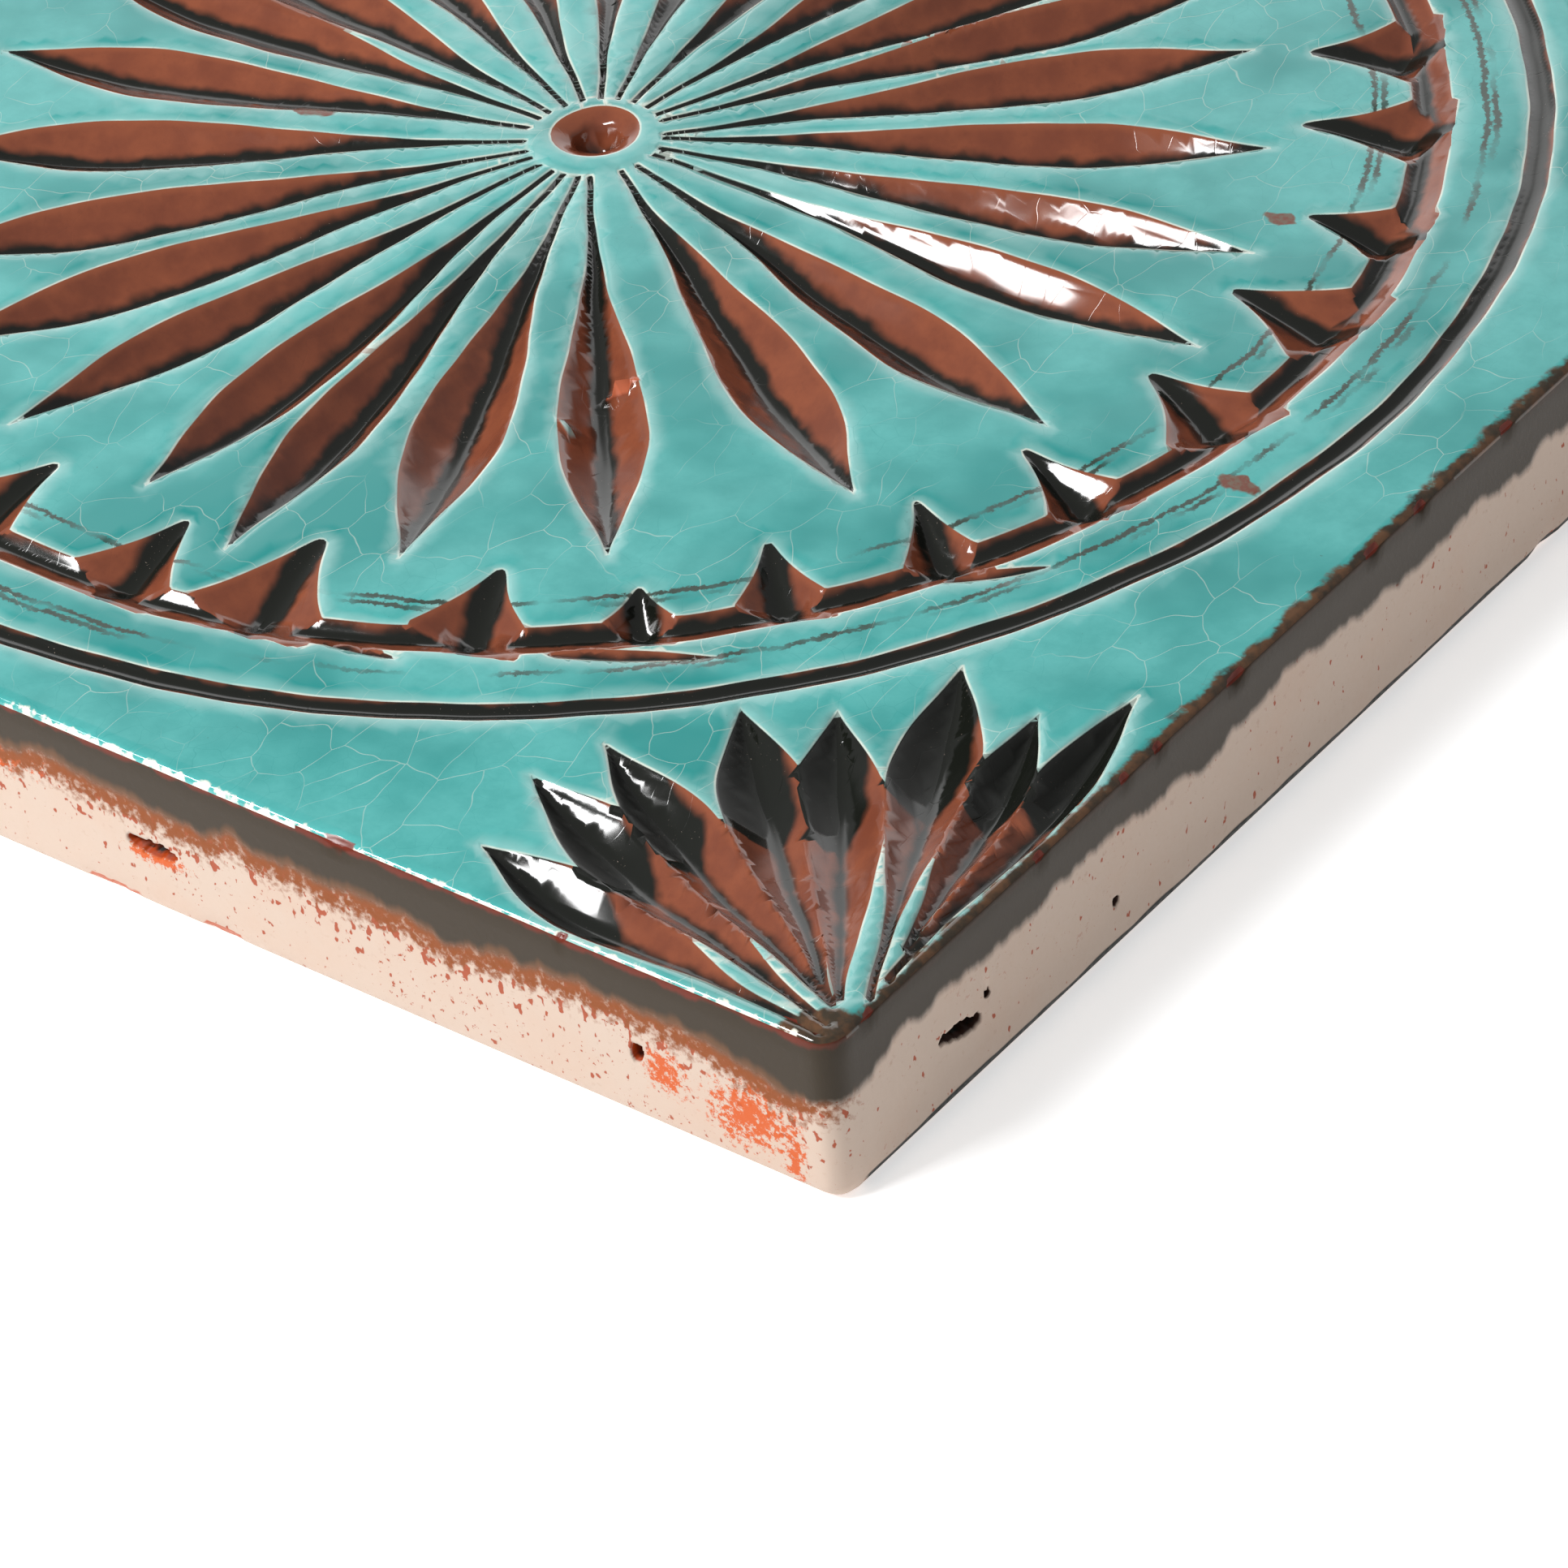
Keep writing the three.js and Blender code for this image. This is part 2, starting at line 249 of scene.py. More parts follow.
# The finishes in their order on the mesh, and where they meet: how far the face's finish comes down at the
# edge, how far inside the edge and above the back all is face, and how far the back's finish comes up
GLAZED_FACE, SLIPPED_SIDE, FIRED_BACK = range(3)
FACE_FINISH_DROP, FACE_FINISH_INSIDE, FACE_FINISH_LOWEST = 0.45, 1.6, 2
BACK_FINISH_TOP = 0.25

# Mesh resolution
GRID_CELLS = 118
CELL = 2 * HALF / GRID_CELLS
FINEST = CELL / 4
SIDE_ROWS = 8
ARC_ROWS = 3
BACK_RINGS = [0.72, 0.4]

# Refining, in shares of a cell: how far from outlines, valleys, narrow cuts and stems each pass reaches, and
# the longest edges that it leaves. A cut is narrow where its half width is less than NARROW, in mm
NEAR_OUTLINE, NEAR_VALLEY, NEAR_LONGEST = 0.75, 0.6, 0.8
ON_OUTLINE, ON_NARROW, ON_LONGEST = 0.17, 0.2, 0.4
ON_STEM, STEM_LONGEST = 0.1, 0.28
CRUMB_LONGEST = [0.8, 0.4, 0.2]
NARROW = 1.1

# Creasing, in shares of the finest cell: how near a vertex is drawn onto a line, and how near two are merged
# before and after. Then how far inside its outline a valley is creased, in mm
SNAP_REACH, MERGE_BEFORE, MERGE_AFTER = 0.25, 0.2, 0.15
VALLEY_INSIDE = 0.3

# Drawing onto a line: the step that finds the slope, the least steepness that counts, and the rounds
LINE_STEP, LEAST_STEEPNESS, LINE_ROUNDS = 0.02, 0.3, 2

# Hollow of the walls, round of the valleys, and how far the glaze softens an edge
WALL_HOLLOW = 1.2
VALLEY_ROUND = 0.45
EDGE_SOFTENING = 0.1
EDGE_SOFTENING_REACH = 0.3

# The step over which the face's slope is taken for its shading, and a distance that counts as far away
NORMAL_STEP = 0.3
FAR = 9.0

# The camera, from the tile's edges and the round groove in the photograph
PHOTO_PIXELS = 1932
FOCAL_PIXELS = 9904.0
SENSOR_MM = 36.0
CAMERA_FROM_FACE = Vector((323.4, -368.2, 318.4))
CAMERA_RIGHT = Vector((0.79659, 0.59942, -0.07834))
CAMERA_UP = Vector((-0.3198, 0.52783, 0.78684))

# The studio, in metres: size, direction and distance of the key light, and half the floor's width
KEY_SIZE = (0.38, 0.2)
KEY_DIRECTION = Vector((-0.33, -0.64, 0.69)).normalized()
KEY_DISTANCE = 0.8
FLOOR_HALF = 3
FLOOR_ROUGHNESS = 0.9

# The bright wall of the surround: its heading, and where it fades to both sides and at its top. Then the
# colours of the dim rest and of the wall
WALL_HEADING = (-0.5, 0.87, 0)
WALL_SIDES_FADE = (0.8, 0.9)
WALL_TOP_FADE = (0.53, 0.64)
DIM, WHITE = (0.2, 0.2, 0.2, 1), (1, 1, 1, 1)

Measure = namedtuple("Measure", "signed depth across pool")
Carving = namedtuple("Carving", "depth edge across pool narrow")


def colour_property(name, description, default):
    """A colour that the user can change."""
    return bpy.props.FloatVectorProperty(
        name=name, description=description, default=default, size=4, subtype="COLOR", min=0, max=1
    )


def length_property(name, description, default):
    """A length that the user can change, with its default in mm."""
    return bpy.props.FloatProperty(name=name, description=description, default=default * MM, unit="LENGTH")


class TileSizes(bpy.types.PropertyGroup):
    """Sizes of the carving and of the glaze in it."""

    petal_depth: length_property("Petal depth", "Depth of a petal's valley", 2.4)
    tooth_depth: length_property("Tooth depth", "Depth of a tooth near the ring", 2.2)
    leaf_depth: length_property("Leaf depth", "Depth of a corner leaf's valley", 2.2)
    petal_pool: length_property("Petal pool", "Half width of a petal's pooled glaze", 0.75)
    tooth_pool: length_property("Tooth pool", "Half width of a tooth's pooled glaze", 1.1)
    glaze_band: length_property("Glaze band", "How far glaze runs down the sides", 4.2)


class TileColours(bpy.types.PropertyGroup):
    """Colours of the glaze, the slip and the clay."""

    glaze: colour_property("Glaze", "Turquoise glaze on the face", (0.085, 0.4, 0.38, 1))
    glaze_deep: colour_property("Deep glaze", "Where the glaze lies thick", (0.018, 0.245, 0.232, 1))
    glaze_thin: colour_property("Thin glaze", "Glaze drawn back from a cut edge", (0.38, 0.58, 0.55, 1))
    rim: colour_property("Rim", "White slip that shows along a cut edge", (0.78, 0.76, 0.66, 1))
    clay: colour_property("Cut clay", "Red clay under clear glaze", (0.145, 0.038, 0.02, 1))
    clay_bright: colour_property("Bright clay", "Red clay under thin glaze", (0.25, 0.07, 0.031, 1))
    # Near black; the sides' holes and foot also take it, as painted shade and a painted contact shadow
    pool: colour_property("Pooled glaze", "Thick glaze in the valleys", (0.006, 0.007, 0.005, 1))
    scribed: colour_property("Scribed line", "Clay that shows in a scribed line", (0.03, 0.026, 0.015, 1))
    bare: colour_property("Bare spot", "Clay that the glaze has left bare", (0.13, 0.088, 0.058, 1))
    slip: colour_property("Slip", "Cream slip on the sides", (0.5, 0.395, 0.325, 1))
    rust: colour_property("Rust", "Stains on the slip", (0.5, 0.08, 0.008, 1))
    speck: colour_property("Speck", "Specks on the slip", (0.3, 0.038, 0.004, 1))
    fringe: colour_property("Fringe", "Clay that shows below the glaze band", (0.21, 0.056, 0.013, 1))
    band: colour_property("Glaze band", "Dark glaze along the top of the sides", (0.036, 0.026, 0.016, 1))
    band_brown: colour_property("Brown band", "Where the dark glaze lies thin", (0.11, 0.052, 0.024, 1))
    chip: colour_property("Chip", "Bare clay where the face's edge has chipped", (0.14, 0.024, 0.014, 1))
    chip_fresh: colour_property("Fresh chip", "Clay where the back's edge has chipped", (0.42, 0.1, 0.042, 1))
    back: colour_property("Back", "Fired clay of the back", (0.5, 0.27, 0.17, 1))


class StageSettings(bpy.types.PropertyGroup):
    """Light and floor."""

    key_power: bpy.props.FloatProperty(
        name="Key power", description="Power of the soft key light", default=8.0, unit="POWER"
    )
    sky_strength: bpy.props.FloatProperty(
        name="Surround", description="Brightness of the surround", default=1.5, min=0
    )
    floor_glow: bpy.props.FloatProperty(
        name="Floor glow", description="Light from the lit table under the floor", default=0.55, min=0
    )
    floor_colour: colour_property("Floor", "Pale floor under the tile", (0.85, 0.85, 0.85, 1))


# Carving


def rise(t):
    """A smooth step from 0 to 1."""
    return (1 - np.cos(np.pi * np.clip(t, 0, 1))) / 2


def softened(distance):
    """Distance from a valley line, with the valley's bottom rounded."""
    return np.sqrt(distance * distance + VALLEY_ROUND**2) - VALLEY_ROUND


def wall_depth(across, half, valley):
    """Depth on the hollow wall between a valley and an edge that lies half a width away."""
    share = softened(across) / np.maximum(softened(half), 1e-6)
    return valley * np.clip(1 - share**WALL_HOLLOW, 0, 1)


def towards(degrees):
    """A direction in the plan."""
    return np.array([math.cos(math.radians(degrees)), math.sin(math.radians(degrees))])


def around_rosette(radius, degrees):
    """A place by its radius and angle about the rosette's centre."""
    return ROSETTE_CENTRE + radius * towards(degrees)


class ChipCut:
    """A V-shaped cut, from a foot to a tip, whose width and depth follow a profile."""

    def __init__(self, foot, tip, profile, pool):
        span = np.subtract(tip, foot)
        self.foot = np.array(foot, dtype=float)
        self.length = float(np.hypot(*span))
        self.direction = span / self.length
        self.normal = np.array([-self.direction[1], self.direction[0]])
        self.profile = profile
        self.pool = pool

    def near(self, places):
        """Indices of the places that the cut can touch."""
        offset = places - self.foot - self.direction * self.length / 2
        along = np.abs(offset @ self.direction)
        across = np.abs(offset @ self.normal)
        return np.flatnonzero((along < self.length / 2 + CUT_MARGIN) & (across < CUT_SIDE_REACH))

    def measure(self, places):
        """Signed distance to the outline, depth, distance across the valley, and distance from the pool."""
        offset = places - self.foot
        along = offset @ self.direction
        across = offset @ self.normal
        s = np.clip(along / self.length, 0, 1)
        width, valley = self.profile(s)
        step = 0.01
        ahead = self.profile(np.clip(s + step, 0, 1))[0]
        behind = self.profile(np.clip(s - step, 0, 1))[0]
        slope = (ahead - behind) / (4 * step * self.length)
        outside = (np.abs(across) - width / 2) / np.hypot(1, slope)
        beyond = np.maximum(np.maximum(-along, along - self.length), 0)
        signed = np.where(beyond > 0, np.hypot(beyond, np.maximum(outside, 0)), outside)
        depth = np.where(signed < 0, wall_depth(across, width / 2, valley), 0)
        return Measure(signed, depth, across, np.abs(across) - self.pool(s, across))


class RingCut:
    """A V-shaped ring, turned about the rosette's centre."""

    def __init__(self, ring):
        self.ring = ring

    def near(self, places):
        """Indices of the places that the ring can touch."""
        radius = np.hypot(*(places - ROSETTE_CENTRE).T)
        inner, outer = self.ring.inner - CUT_MARGIN, self.ring.outer + CUT_MARGIN
        return np.flatnonzero((radius > inner) & (radius < outer))

    def measure(self, places):
        """As for a chip, with the outward direction counted as across."""
        radius = np.hypot(*(places - ROSETTE_CENTRE).T)
        across = radius - self.ring.valley
        signed = np.maximum(self.ring.inner - radius, radius - self.ring.outer)
        half = np.where(across < 0, self.ring.valley - self.ring.inner, self.ring.outer - self.ring.valley)
        depth = np.where(signed < 0, wall_depth(across, half, self.ring.depth), 0)
        reach = np.where(across < 0, self.ring.pool_in, self.ring.pool_out)
        return Measure(signed, depth, across, np.abs(across) - reach)


class DrilledCentre:
    """The drilled middle of the rosette."""

    def near(self, places):
        """Indices of the places around the middle."""
        return np.flatnonzero(np.hypot(*(places - DRILLED_AT).T) < CENTRE_PROFILE[-1][0] + CUT_MARGIN)

    def measure(self, places):
        """As for a chip, with the foot of the rim counted as the valley."""
        radius = np.hypot(*(places - DRILLED_AT).T)
        radii, depths = np.array(CENTRE_PROFILE).T
        foot = radii[2]
        return Measure(radius - radii[-1], np.interp(radius, radii, depths), radius - foot, radius - radii[1])


def leaf_profile(width, depth, stem, shoulder, swell, taper):
    """Width and depth of a leaf-shaped cut along its length, from its foot at 0 to its tip at 1."""

    def profile(s):
        growing = stem + (width - stem) * rise(s / shoulder) ** swell
        closing = width * rise((1 - s) / (1 - shoulder)) ** taper
        across = np.where(s < shoulder, growing, closing)
        return across, depth * (across / width) ** VALLEY_POWER

    return profile


def tooth_profile(tip, base, depth):
    """Width and depth of a tooth along its length, from its tip at 0 to the ring's outer edge at 1."""
    length = TOOTHED_RING.outer - tip
    flank_end = (TOOTHED_RING.inner - tip) / length
    valley_end = (TOOTH_VALLEY_RADIUS - tip) / length

    def profile(s):
        t = np.minimum(1, s / flank_end)
        share = TOOTH_BLUNT * t**TOOTH_BLUNT_POWER + (1 - TOOTH_BLUNT) * t**TOOTH_FLARE_POWER
        return base * share, depth * np.minimum(s / valley_end, (1 - s) / (1 - valley_end))

    return profile


def slip_profile(width):
    """Width and depth of a slip of the knife, from its start in the ring at 0 to its point at 1."""

    def profile(s):
        share = SLIP_FULLNESS * s**SLIP_START_POWER * (1 - s) ** SLIP_POINT_POWER
        return width * share, SLIP_DEPTH * share

    return profile


def even_pool(reach):
    """Glaze pooled to the same distance on both sides of a valley."""
    return lambda s, across: np.full_like(s, reach)


def leaf_pool(s, across):
    """Glaze pooled in a corner leaf: deep all over its tip, and along a thin line in the rest of it. At the
    tip the black reaches further onto one wall, as painted shade on the wall turned from the light.
    """
    tipped = np.clip((s - LEAF_TIP_START) / LEAF_TIP_FADE, 0, 1)
    # Past the valley on one side the tip's black reaches further: painted shade on the wall turned from the
    # light
    shaded_wall = np.clip(across / LEAF_SHADE_FADE, 0, 1)
    return LEAF_LINE_POOL + (LEAF_TIP_POOL + LEAF_TIP_SHADE_SPREAD * shaded_wall) * tipped


def with_even_rest(measured, count):
    """The measured cuts, then the ones out of view, spread evenly at mean sizes."""
    missing = count - len(measured)
    last = measured[-1][0]
    gap = (last - measured[0][0] + 360) / (missing + 1)
    sizes = np.mean([row[1:] for row in measured], axis=0)
    return measured + [[last - gap * (i + 1), *sizes] for i in range(missing)]


def petal_cuts(sizes):
    """The rosette's petals."""
    pool = even_pool(sizes.petal_pool / MM)
    for angle, radius, width, swell, lean, share in with_even_rest(PETALS, PETAL_COUNT):
        depth = share * sizes.petal_depth / MM
        profile = leaf_profile(width, depth, PETAL_STEM, PETAL_SHOULDER, swell, PETAL_TAPER)
        foot = around_rosette(PETAL_FOOT_RADIUS, angle + lean)
        yield ChipCut(foot, around_rosette(radius, angle), profile, pool)


def tooth_cuts(sizes):
    """The teeth inside the ring."""
    pool = even_pool(sizes.tooth_pool / MM)
    for angle, radius, lean, base in with_even_rest(TEETH, TOOTH_COUNT):
        profile = tooth_profile(radius, base, sizes.tooth_depth / MM)
        foot = around_rosette(TOOTHED_RING.outer, angle + lean)
        yield ChipCut(around_rosette(radius, angle), foot, profile, pool)


def leaf_cuts(sizes):
    """A fan of leaves in each corner."""
    for corner in range(CORNERS):
        turn = np.array(Matrix.Rotation(corner * math.pi / 2, 2))
        for tip, foot, width, swell in LEAVES:
            profile = leaf_profile(width, sizes.leaf_depth / MM, LEAF_STEM, LEAF_SHOULDER, swell, LEAF_TAPER)
            ends = [turn @ np.array([HALF - a, b - HALF]) for a, b in (foot, tip)]
            yield ChipCut(*ends, profile, leaf_pool)


def slip_cuts():
    """Slips of the knife past the ring's outer edge."""
    for start_angle, start_radius, point_angle, point_radius, width in SLIPS:
        start = around_rosette(start_radius, start_angle)
        point = around_rosette(point_radius, point_angle)
        yield ChipCut(start, point, slip_profile(width), even_pool(SLIP_POOL))


def all_cuts(sizes):
    """Every cut of the carving."""
    chips = [*petal_cuts(sizes), *tooth_cuts(sizes), *leaf_cuts(sizes), *slip_cuts()]
    return [*chips, RingCut(TOOTHED_RING), RingCut(GROOVE), DrilledCentre()]


def waves(places, rows):
    """A sum of waves over the plan."""
    x, y = places.T
    return sum(height * np.sin(turn_x * x + turn_y * y + start) for height, turn_x, turn_y, start in rows)


def hand_wander(places):
    """Places shifted by the small wander of a hand-held knife."""
    return places + np.stack([waves(places, WANDER_X), waves(places, WANDER_Y)], axis=1)


def carve(places, cuts):
    """What the carving does at each place: its depth, distance to the outline and place in its own cut."""
    places = hand_wander(places)
    count = len(places)
    depth = np.zeros(count)
    edge = np.full(count, FAR)
    across = np.full(count, FAR)
    pool = np.full(count, FAR)
    rank = np.full(count, -FAR)
    narrow = np.zeros(count, dtype=bool)
    for cut in cuts:
        near = cut.near(places)
        found = cut.measure(places[near])
        edge[near] = np.minimum(edge[near], found.signed)
        own_rank = np.where(found.signed < 0, found.depth, -found.signed)
        first = own_rank > rank[near]
        chosen = near[first]
        rank[chosen] = own_rank[first]
        depth[chosen] = found.depth[first]
        across[chosen] = found.across[first]
        pool[chosen] = found.pool[first]
        narrow[chosen] = (np.abs(found.across[first]) - found.signed[first]) < NARROW
    return Carving(depth, edge, across, pool, narrow)


# Mesh


def plan_of(verts):
    """The plan places of some vertices, in mm."""
    return np.array([vert.co.xy for vert in verts]).reshape(-1, 2) / MM


def round_corners(bm):
    """Draws the square grid's corners in to the slab's rounded outline."""
    core = HALF - CORNER_RADIUS
    for vert in bm.verts:
        out = Vector(max(abs(c) / MM - core, 0) for c in vert.co.xy)
        if out.x and out.y:
            drawn = out * (max(out) / out.length)
            vert.co.x = math.copysign(core + drawn.x, vert.co.x) * MM
            vert.co.y = math.copysign(core + drawn.y, vert.co.y) * MM


def split_longer(bm, wanted_at, longest):
    """Splits the edges that are too long and whose middle is wanted."""
    edges = list(bm.edges)
    ends = np.array([[vert.co.xy for vert in edge.verts] for edge in edges]) / MM
    wanted = wanted_at(ends.mean(axis=1)) & (np.hypot(*(ends[:, 1] - ends[:, 0]).T) > longest)
    chosen = [edges[i] for i in np.flatnonzero(wanted)]
    bmesh.ops.subdivide_edges(bm, edges=chosen, cuts=1, use_grid_fill=True)


def refine(bm, cuts):
    """Divides the grid finer along the outlines and valleys of the carving, and along the slab's rim."""

    def near_lines(places):
        carving = carve(places, cuts)
        valley = (np.abs(carving.across) < NEAR_VALLEY * CELL) & (carving.edge < 0)
        rim = np.abs(places).max(axis=1) > HALF - CELL
        return (np.abs(carving.edge) < NEAR_OUTLINE * CELL) | valley | rim

    def on_lines(places):
        carving = carve(places, cuts)
        slim = carving.narrow & (carving.edge < ON_NARROW * CELL)
        return (np.abs(carving.edge) < ON_OUTLINE * CELL) | slim

    def on_stems(places):
        carving = carve(places, cuts)
        return carving.narrow & (carving.edge < ON_STEM * CELL)

    def on_crumbs(places):
        return crumb_height(places)[0] > 0

    split_longer(bm, near_lines, NEAR_LONGEST * CELL)
    split_longer(bm, on_lines, ON_LONGEST * CELL)
    split_longer(bm, on_stems, STEM_LONGEST * CELL)
    for longest in CRUMB_LONGEST:
        split_longer(bm, on_crumbs, longest * CELL)


def slope_of(value_of, places, step):
    """The slope of a value in the plan, from its change over a small step to both sides."""
    changes = [value_of(places + move) - value_of(places - move) for move in np.eye(2) * step]
    return np.stack(changes, axis=1) / (2 * step)


def drawn_onto(places, value_of):
    """Places moved down a value's slope to where it is zero."""
    moved = places.copy()
    for _ in range(LINE_ROUNDS):
        value = value_of(moved)
        slope = slope_of(value_of, moved, LINE_STEP)
        steepness = np.maximum((slope**2).sum(axis=1), LEAST_STEEPNESS)
        moved -= (value / steepness)[:, None] * slope
    return moved


def crease(bm, value_of, valid_at, reach):
    """Runs mesh edges along the line where a value is zero."""
    limit = HALF - FACE_ROUND - 2 * reach
    verts = [vert for vert in bm.verts if max(abs(vert.co.x), abs(vert.co.y)) < limit * MM]
    places = plan_of(verts)
    value = np.where(valid_at(places), value_of(places), FAR)
    close = np.flatnonzero(np.abs(value) < reach)
    for index, place in zip(close, drawn_onto(places[close], value_of)):
        verts[index].co.xy = place * MM
    value[close] = 0
    level = dict(zip(verts, value))
    on_line = [verts[i] for i in close]
    for edge in list(bm.edges):
        first, second = edge.verts
        before, after = level.get(first, FAR), level.get(second, FAR)
        if before * after < 0 and abs(before) + abs(after) < FAR / 2:
            _, added = bmesh.utils.edge_split(edge, first, before / (before - after))
            on_line.append(added)
    bmesh.ops.connect_verts(bm, verts=on_line)


def crease_carving(bm, cuts):
    """Runs mesh edges along the carving's outlines and valleys."""

    def outline(places):
        return carve(places, cuts).edge

    def valley(places):
        return carve(places, cuts).across

    bmesh.ops.remove_doubles(bm, verts=bm.verts, dist=MERGE_BEFORE * FINEST * MM)
    crease(bm, outline, lambda places: True, SNAP_REACH * FINEST)
    crease(bm, valley, lambda places: outline(places) < -VALLEY_INSIDE, SNAP_REACH * FINEST)
    bmesh.ops.remove_doubles(bm, verts=bm.verts, dist=MERGE_AFTER * FINEST * MM)


def waviness(places):
    """The slight rise and fall of a hand-rolled, glazed face."""
    x, y = places.T
    broad = np.sin(x / 11 + np.sin(y / 8)) + np.sin(y / 13 - np.sin(x / 9) + 2)
    fine = np.sin(x / 1.9 + y / 2.7 + np.sin(y / 3.1)) + np.sin(y / 1.7 - x / 3.3 + np.sin(x / 2.3))
    return BROAD_WAVES * broad + FINE_WAVES * fine


def crumb_height(places):
    """How far crumbs of clay stand up, and that height as a mark: positive where the clay is bare."""
    height = np.zeros(len(places))
    mark = np.zeros(len(places))
    for x, y, degrees, half_length, half_width, top, bare in CRUMBS:
        offset = places - (x, y)
        along = offset @ towards(degrees) / half_length
        across = offset @ towards(degrees + 90) / half_width
        rising = top * rise(CRUMB_STEEPNESS * (1 - np.hypot(along, across)))
        height += rising
        mark += bare * rising
    return height, mark


def face_height(places, cuts):
    """Height of the face above the back, with what lies there: the carving, and the mark of a crumb."""
    carving = carve(places, cuts)
    crumb, mark = crumb_height(places)
    sunk = carving.depth + EDGE_SOFTENING * np.exp(-np.abs(carving.edge) / EDGE_SOFTENING_REACH) - crumb
    return THICKNESS - FACE_SUNK + waviness(places) - np.maximum(sunk, -CRUMB_PROUD), carving, mark


def press_carving(bm, cuts):
    """Sinks the face into the carving, and notes on each vertex what the finish needs to know."""
    layers = [bm.verts.layers.float.new(name) for name in ("cut_edge", "pool", "crumb")]
    normal_layer = bm.verts.layers.float_vector.new("face_normal")
    verts = list(bm.verts)
    places = plan_of(verts)
    height, carving, mark = face_height(places, cuts)
    slope = slope_of(lambda at: face_height(at, cuts)[0], places, NORMAL_STEP)
    notes = np.stack([carving.edge, carving.pool, mark], axis=1)
    for vert, z, fall, row in zip(verts, height, slope, notes):
        vert.co.z = z * MM
        vert[normal_layer] = Vector((-fall[0], -fall[1], 1)).normalized()
        for layer, value in zip(layers, row):
            vert[layer] = value


def drawn_to(place, inset):
    """The point on the slab's outline, drawn in by inset, that lies nearest to a place."""
    core = HALF - CORNER_RADIUS
    centre = Vector(min(max(c, -core), core) for c in place)
    outward = (place - centre).normalized()
    return centre + outward * (CORNER_RADIUS - inset)


def side_stations():
    """Inset and share of the height, row by row from the face's rounded edge to the back's."""
    for i in range(1, ARC_ROWS + 1):
        turn = math.pi / 2 * i / ARC_ROWS
        yield FACE_ROUND * (1 - math.sin(turn)), 1 - FACE_ROUND * (1 - math.cos(turn)) / THICKNESS
    top = 1 - FACE_ROUND / THICKNESS
    bottom = BACK_ROUND / THICKNESS
    for i in range(1, SIDE_ROWS + 1):
        yield 0, top + (bottom - top) * i / SIDE_ROWS
    for i in range(1, ARC_ROWS + 1):
        turn = math.pi / 2 * i / ARC_ROWS
        yield BACK_ROUND * (1 - math.cos(turn)), bottom * (1 - math.sin(turn))


def extrude_rim(bm, rim):
    """Extrudes the open rim once; returns the new vertices and the new rim."""
    grown = bmesh.ops.extrude_edge_only(bm, edges=rim)["geom"]
    verts = [item for item in grown if isinstance(item, bmesh.types.BMVert)]
    edges = [item for item in grown if isinstance(item, bmesh.types.BMEdge) and item.is_boundary]
    return verts, edges


def build_sides(bm):
    """Draws the face's rim down over the rounded edge, the sides and the back."""
    crown = bm.verts.layers.float.new("crown")
    normal_layer = bm.verts.layers.float_vector["face_normal"]
    rim = [edge for edge in bm.edges if edge.is_boundary]
    for vert in {vert for edge in rim for vert in edge.verts}:
        vert.co.xy = drawn_to(vert.co.xy / MM, FACE_ROUND) * MM
        vert[crown] = vert.co.z
        vert[normal_layer] = (0, 0, 0)
    for inset, share in side_stations():
        verts, rim = extrude_rim(bm, rim)
        for vert in verts:
            vert.co.xy = drawn_to(vert.co.xy / MM, inset) * MM
            vert.co.z = vert[crown] * share
    for scale in BACK_RINGS:
        verts, rim = extrude_rim(bm, rim)
        bmesh.ops.scale(bm, vec=(scale, scale, 1), verts=verts)
    verts, rim = extrude_rim(bm, rim)
    bmesh.ops.pointmerge(bm, verts=verts, merge_co=(0, 0, 0))


def on_side(side, co):
    """Place along a side, drop below the face and distance inside the side, in mm."""
    normal, along = SIDES[side]
    x, y, z = co / MM
    return x * along[0] + y * along[1], THICKNESS - z, HALF - (x * normal[0] + y * normal[1])


def hole_reach(hole, co):
    """How far a place is from a hole's middle: about 1 on its ragged rim."""
    along, drop, inside = on_side(hole.side, co)
    if inside > HOLE_INSIDE:
        return FAR
    tilt = math.radians(hole.tilt)
    a, b = along - hole.along, drop - hole.drop
    a, b = a * math.cos(tilt) + b * math.sin(tilt), b * math.cos(tilt) - a * math.sin(tilt)
    ragged = HOLE_RAGGED * noise.noise(co / MM * HOLE_LUMPS)
    return math.hypot(a / hole.half_length, b / hole.half_height) + ragged


def dig_holes(bm):
    """Presses the holes into the sides."""
    layer = bm.verts.layers.float.new("hole")
    for hole in HOLES:
        for limit in HOLE_REFINING:
            edges = [
                edge for edge in bm.edges
                if hole_reach(hole, (edge.verts[0].co + edge.verts[1].co) / 2) < limit
            ]
            bmesh.ops.subdivide_edges(bm, edges=edges, cuts=1, use_grid_fill=True)
        normal = Vector((*SIDES[hole.side][0], 0))
        for vert in bm.verts:
            reach = hole_reach(hole, vert.co)
            if reach < HOLE_RIM:
                sunk = float(rise((HOLE_RIM - reach) / HOLE_RIM_FALL))
                vert.co -= normal * sunk * hole.depth * MM
                vert[layer] = max(vert[layer], sunk)


